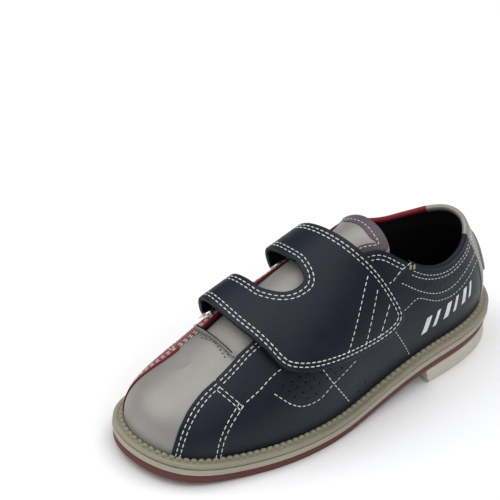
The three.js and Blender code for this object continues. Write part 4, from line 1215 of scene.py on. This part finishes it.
def tongue_edge(margin, front, end):
    """The tongue's outline, with a rounded free end."""
    half = 0.5 - margin
    corner, width = 0.095, 0.36
    bend = np.linspace(0, math.pi / 2, 8)
    right = [(0.5 + half - width * (1 - math.cos(a)), end - corner * (1 - math.sin(a)))
             for a in bend]
    left = [(1 - a, b) for a, b in right[::-1]]
    return np.array([(0.5 - half, front), (0.5 + half, front)] + right + left)


def tongue_rail():
    """The line round the tongue's free end, with its corners eased."""
    return softened(resample(tongue, tongue_edge(0, 0.68, 1.0)[1:], -2.0, 1.2), 3)


def make_tongue():
    pad = plate("tongue_pad", tongue, tongue_edge(0, -0.03, 1.0), TONGUE_LIFT, 4.3, (), 1.1, 2.4,
                shape=tongue_swell)
    dress(pad, "silver", "silver_leather", "tongue_cover", "tongue_foam", body="tongue")
    back = plate("tongue_back_cloth", tongue, tongue_edge(0.02, -0.02, 0.985), -6.3, 0.8, (), 0.3,
                 3)
    dress(back, "lining", "black_textile", "tongue_lining", body="tongue")
    rail = tongue_rail()
    band = closed(rail, softened(tongue_top.beside(rail, BAND), 5)[::-1])
    dress(plate("tongue_end_band", tongue_top, band, TONGUE_LIFT + 0.45, 0.7, (), 0.2, 2.0), "mauve",
          "black_leather", body="tongue")

    def point(t, q):
        i = np.clip(np.round(t * (len(rail) - 1)).astype(int), 0, len(rail) - 1)
        place, _, _, n = tongue.frames(rail, -3.4)
        along = np.gradient(place, axis=0)
        along /= np.linalg.norm(along, axis=1)[:, None]
        out = np.cross(along, n)
        angle = 2 * math.pi * q
        return (place[i] + out[i] * (1.3 * np.cos(angle))[:, None]
                + n[i] * (2.3 * np.sin(angle))[:, None])
    roll = grid_piece("tongue_end_roll", len(rail) - 1, 16, point, caps=True)
    dress(roll, "mauve", "black_leather", body="tongue")


# ---- closure -----------------------------------------------------------------------------------
def make_strap():
    top = strap_edge(ARM_SEAM)

    def seam(e):
        return all(abs(v.co.y - ARM_SEAM * STRAP_TALL) < 1e-3 for v in e.verts)
    leather_piece = plate("strap_leather", strap, top, STRAP_TOP, STRAP_LEATHER, (), 0.55, 2.4,
                          seam)
    dress(leather_piece, "navy", "navy_leather", "strap", body="strap")
    cloth = plate("strap_backing", strap, top, STRAP_TOP - STRAP_LEATHER, 1.0, (), 0.3, 2.8, seam)
    dress(cloth, "lining", "black_textile", "strap_lining", body="strap")
    for i, name in enumerate(("front", "rear")):
        low, high = ARMS[i]
        edge = np.array([(low, ARM_SEAM), (high, ARM_SEAM), (high, 1.1), (low, 1.1)])
        turned = plate(f"{name}_arm_end", strap, edge, STRAP_TOP, STRAP_LEATHER + 1, (), 0.55,
                       1.6, seam)
        dress(turned, "navy", "navy_leather")
        turned.parent = None
        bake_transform(turned)


def make_eyelets():
    """A pressed oval ring: a domed flange, a barrel and a rolled lip behind the leather."""
    profile = [(0.0, 0.9), (0.15, 1.3), (0.6, 1.62), (1.3, 1.65), (2.1, 1.42), (2.6, 0.98),
               (2.7, 0.62), (2.5, 0.55), (0.75, 0.6), (0.7, -5.4), (1.3, -6.3), (1.2, -6.9),
               (0.5, -7.0), (0.0, -6.4)]
    straight = (EYELET["long"] - EYELET["short"]) / 2
    for name, e in zip(("front", "rear"), eyelets):
        def point(t, q, e=e):
            grow, lift = row_of_points(profile, q).T
            half = EYELET["short"] / 2 + grow
            c, s = np.cos(2 * math.pi * t), np.sin(2 * math.pi * t)
            shift = straight * np.sign(c) * np.minimum(1, np.abs(c) * 4) * (np.abs(c) > 1e-9)
            return (e["at"] + (half * c + shift)[:, None] * strap_line
                    + (half * s)[:, None] * e["up"] + lift[:, None] * e["out"])
        ring = grid_piece(f"{name}_eyelet_ring", 72, len(profile), point)
        dress(ring, "nickel", "nickel", f"{name}_eyelet")


def flap_patch(name, node, lift, thick, along, up, body):
    """A fastening patch under the flap, over shares of its width and height."""
    corner = 0.06
    bend = [(math.cos(a), math.sin(a)) for a in np.linspace(0, math.pi / 2, 6)]
    shape = []
    for sx, sy, turn in ((1, -1, -1), (1, 1, 1), (-1, 1, -1), (-1, -1, 1)):
        arc = [(sx * (0.5 - corner + corner * c), sy * (0.5 - corner * 1.4 + corner * 1.4 * s))
               for c, s in bend]
        shape += arc if turn > 0 else arc[::-1]
    shape = np.array(shape) + 0.5
    a = along[0] + (along[1] - along[0]) * shape[:, 0]
    q = up[0] + (up[1] - up[0]) * shape[:, 1]
    patch = plate(name, last, np.stack(flap_place(a, q), axis=1), lift, thick, (), 0.2)
    dress(patch, "pile", "fastener_pile", node, body=body)


def make_fasteners():
    flap_patch("loop_pile", "loop_patch", 1.3, 0.9, (0.1, 0.96), (0.06, 0.82), "shoe")
    flap_patch("hook_pile", "hook_patch", 2.9, 1.2, (0.2, 0.9), (0.12, 0.7), "strap")


# ---- threads -----------------------------------------------------------------------------------
FINE = {"length": 1.7, "gap": 0.6, "width": 0.5, "height": 0.4}
BORDER_ROWS = (1.9, 3.8)
BORDER_RAISE = 0.08
NEEDLE = {"length": 0.85, "gap": 1.25, "width": 0.85, "height": 0.3}


def rows(sewing, surface, line, offsets, lift, size=STITCH):
    for offset in offsets:
        moved = surface.beside(line, offset) if offset else line
        sewing.sew(surface, moved, lift, size)


def sew_side(name):
    side, _ = SIDES[name]
    sewing = Thread()

    def sew(line, offsets, layer, size=STITCH):
        flat = mirrored(line, side)
        rows(sewing, last, flat, [o * side for o in offsets], LIFTS[layer], size)
    sew(run(wing_front, 60, 0.02, 1), (-1.9, -3.9), "wing")
    sew(run(wing_top, 30, 0.2, 0.93), (-1.5, -3.6), "wing")
    sew(run(wing_back, 40, 0.03, 0.97), (1.5, 3.9), "wing")
    sew(run(FACING_LOWS[side], 60, 0.02, 0.99), (1.5,), "facing")
    sew(run(scallop, 50), (0,), "quarter")
    sew(run(cross_row, 30), (0,), "quarter")
    sew(run(rear_row, 30), (0,), "quarter", FINE)
    sew(run(collar_front, 20, 0.05, 0.95), (1.3,), "facing")
    sew(run(collar_low, 80, 0.08, 1), (1.6,), "collar", FINE)
    sew(run(lower_row, 80), (0,), "quarter", FINE)
    s = np.linspace(THROAT_START + 0.012, FACING_END - 0.004, 90)
    throat = np.stack([s, edge_v(side * s) - 0.012], axis=1)
    throat = closed(run(vamp_front, 30, 0.735, 0.97), throat)
    sew(softened(resample(last, throat, 0.5), 6), (-1.9, -3.9), "facing")
    s = np.linspace(0.63, COUNTER_EDGE, 70)
    top = np.stack([s, topline_v(side * s) - 0.024], axis=1)
    sew(top, (-1.6, -3.6), "collar", FINE)
    dress(sewing.done(f"{name}_stitching"), "thread", "patch_white")
    tack = Thread()
    base = mirrored(np.array([(0.617, 0.655), (0.631, 0.640)]), side)
    for offset in (-0.9, -0.3, 0.3, 0.9):
        tack.sew(last, last.beside(base, offset), LIFTS["facing"] + 0.35, FINE)
    dress(tack.done(f"{name}_bar_tack"), "ecru", "patch_white")


def sew_heel():
    sewing = Thread()
    lift = LIFTS["counter"]
    for edge, way in ((COUNTER_EDGE, 1), (2 - COUNTER_EDGE, -1)):
        v = np.linspace(0.02, 0.565, 40)
        line = np.stack([np.full(40, edge), v], axis=1)
        rows(sewing, last, line, [-1.6 * way, -3.6 * way], lift, FINE)
    s = np.linspace(COUNTER_EDGE + 0.01, 2 - COUNTER_EDGE - 0.01, 80)
    top = np.stack([s, topline_v(s) - 0.024], axis=1)
    rows(sewing, last, top, (-1.6, -3.6), lift, FINE)
    band = np.stack([s[6:-6], np.full(68, 0.10)], axis=1)
    rows(sewing, last, band, (0, 2.0), lift, FINE)
    circle = last.oval(PATCH["place"], PATCH["radius"] + 0.75, count=60)
    sewing.sew(last, closed(circle, circle[:1]), 1.5, FINE)
    dress(sewing.done("heel_stitching"), "thread", "patch_white")


def sew_vamp():
    # Two rows of empty needle holes by the throat, drawn as dark lumps: painted shade of the holes.
    holes = Thread()
    for back in (0.007, 0.0155):
        right = np.stack([np.full(20, THROAT_START - back - 0.004), np.linspace(0.83, 0.995, 20)],
                         axis=1)
        for side in (1, -1):
            holes.sew(last, mirrored(right, side), 0.02, NEEDLE, 0.0)
    dress(holes.done("vamp_painted_needle_hole_shade"), "dark_thread", "silver_leather")


def sew_strap():
    sewing = Thread()
    down, low = np.linspace(1, 0, 60), np.linspace(0, 1, 120)
    border = closed(np.stack([0 * down, down], axis=1), np.stack([low, 0 * low], axis=1),
                    np.stack([0 * down + 1, down[::-1]], axis=1))
    border = resample(strap, border, STRAP_TOP)
    flap = normals(last_point, *flap_place(border[:, 0], np.minimum(border[:, 1], 0.5) * 2))
    place, _, _, n = strap.frames(border, STRAP_TOP)
    n = softened(np.where(border[:, 1:] < 0.5, flap, n), 10)
    n /= np.linalg.norm(n, axis=1)[:, None]
    place = softened(place, 6)
    inward = np.cross(n, np.gradient(place, axis=0))
    inward /= np.linalg.norm(inward, axis=1)[:, None]
    sides = [(ARMS[0][1], w) for w in (1.0, 0.9, 0.8, 0.7)]
    cut = closed(sides, crotch(40), [(ARMS[1][0], w) for _, w in sides[::-1]])
    cut = resample(strap, cut, STRAP_TOP, 1.0)
    for inset in BORDER_ROWS:
        sewing.stitch(place + inward * inset + n * BORDER_RAISE, n)
        sewing.sew(strap, strap.beside(cut, -inset), STRAP_TOP)
    for top, bottom in (((0.522, 0.737), (0.44, 0.409)), ((0.529, 0.632), (0.477, 0.382)),
                        ((0.544, 0.512), (0.508, 0.363))):
        t = np.linspace(0, 1, 30)[:, None]
        sewing.sew(last, np.array(top) * (1 - t) + np.array(bottom) * t, STRAP_BASE + STRAP_TOP)
    dress(sewing.done("strap_stitching"), "thread", "patch_white", body="strap")


def sew_tongue():
    sewing = Thread()
    line = softened(tongue_top.beside(tongue_rail(), BAND - 1.2), 5)
    sewing.sew(tongue_top, line, TONGUE_LIFT + 0.45, FINE)
    dress(sewing.done("tongue_stitching"), "thread", "patch_white", body="tongue")


make_sole()
make_welt()
make_vamp()
for side_name in SIDES:
    make_side(side_name)
make_counter()
make_linings()
make_bindings()
make_patch()
make_stripes()
make_tongue()
make_strap()
make_eyelets()
make_fasteners()
for side_name in SIDES:
    sew_side(side_name)
sew_heel()
sew_vamp()
sew_strap()
sew_tongue()

# CAD pieces whose shape is right keep it and get their material.
KEPT = {"cork_filler": "cork", "shank": "steel", "insole_board": "board", "sock_liner": "lining",
        "toe_puff": "board", "heel_stiffener": "board", "vamp_lining": "lining",
        "front_strap_anchor": "lining", "rear_strap_anchor": "lining"}
for node_name, look_name in KEPT.items():
    kept_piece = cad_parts[node_name]
    kept_piece.data.materials.clear()
    kept_piece.data.materials.append(LOOKS[look_name])


# ---- studio ------------------------------------------------------------------------------------
def make_floor():
    bm = bmesh.new()
    bmesh.ops.create_grid(bm, x_segments=1, y_segments=1, size=4)
    mesh = bpy.data.meshes.new("floor")
    bm.to_mesh(mesh)
    bm.free()
    floor = bpy.data.objects.new("floor", mesh)
    bpy.context.scene.collection.objects.link(floor)
    look = Look("floor")
    mesh.materials.append(look.finish(Base_Color=(0.98, 0.98, 0.98, 1), Roughness=0.9))


def area_light(name, place, size, power, target=(0, 0, 0.04)):
    data = bpy.data.lights.new(name, "AREA")
    data.shape = "RECTANGLE"
    data.size, data.size_y = size
    data.energy = power
    light = bpy.data.objects.new(name, data)
    light.location = place
    aim = Vector(target) - Vector(place)
    light.rotation_mode = "QUATERNION"
    light.rotation_quaternion = aim.to_track_quat("-Z", "Y")
    bpy.context.scene.collection.objects.link(light)


def make_studio():
    make_floor()
    area_light("key", (-0.7, -1.0, 1.5), (1.7, 1.7), 19)
    area_light("fill", (1.4, -0.6, 1.2), (1.4, 1.2), 6)
    area_light("top", (0.1, 0.5, 1.7), (2.0, 2.0), 19)
    world = bpy.data.worlds.new("studio")
    world.use_nodes = True
    background = world.node_tree.nodes["Background"]
    background.inputs["Color"].default_value = (0.93, 0.95, 1, 1)
    background.inputs["Strength"].default_value = 0.31
    bpy.context.scene.world = world
    bpy.context.scene.view_settings.view_transform = "Standard"


make_studio()
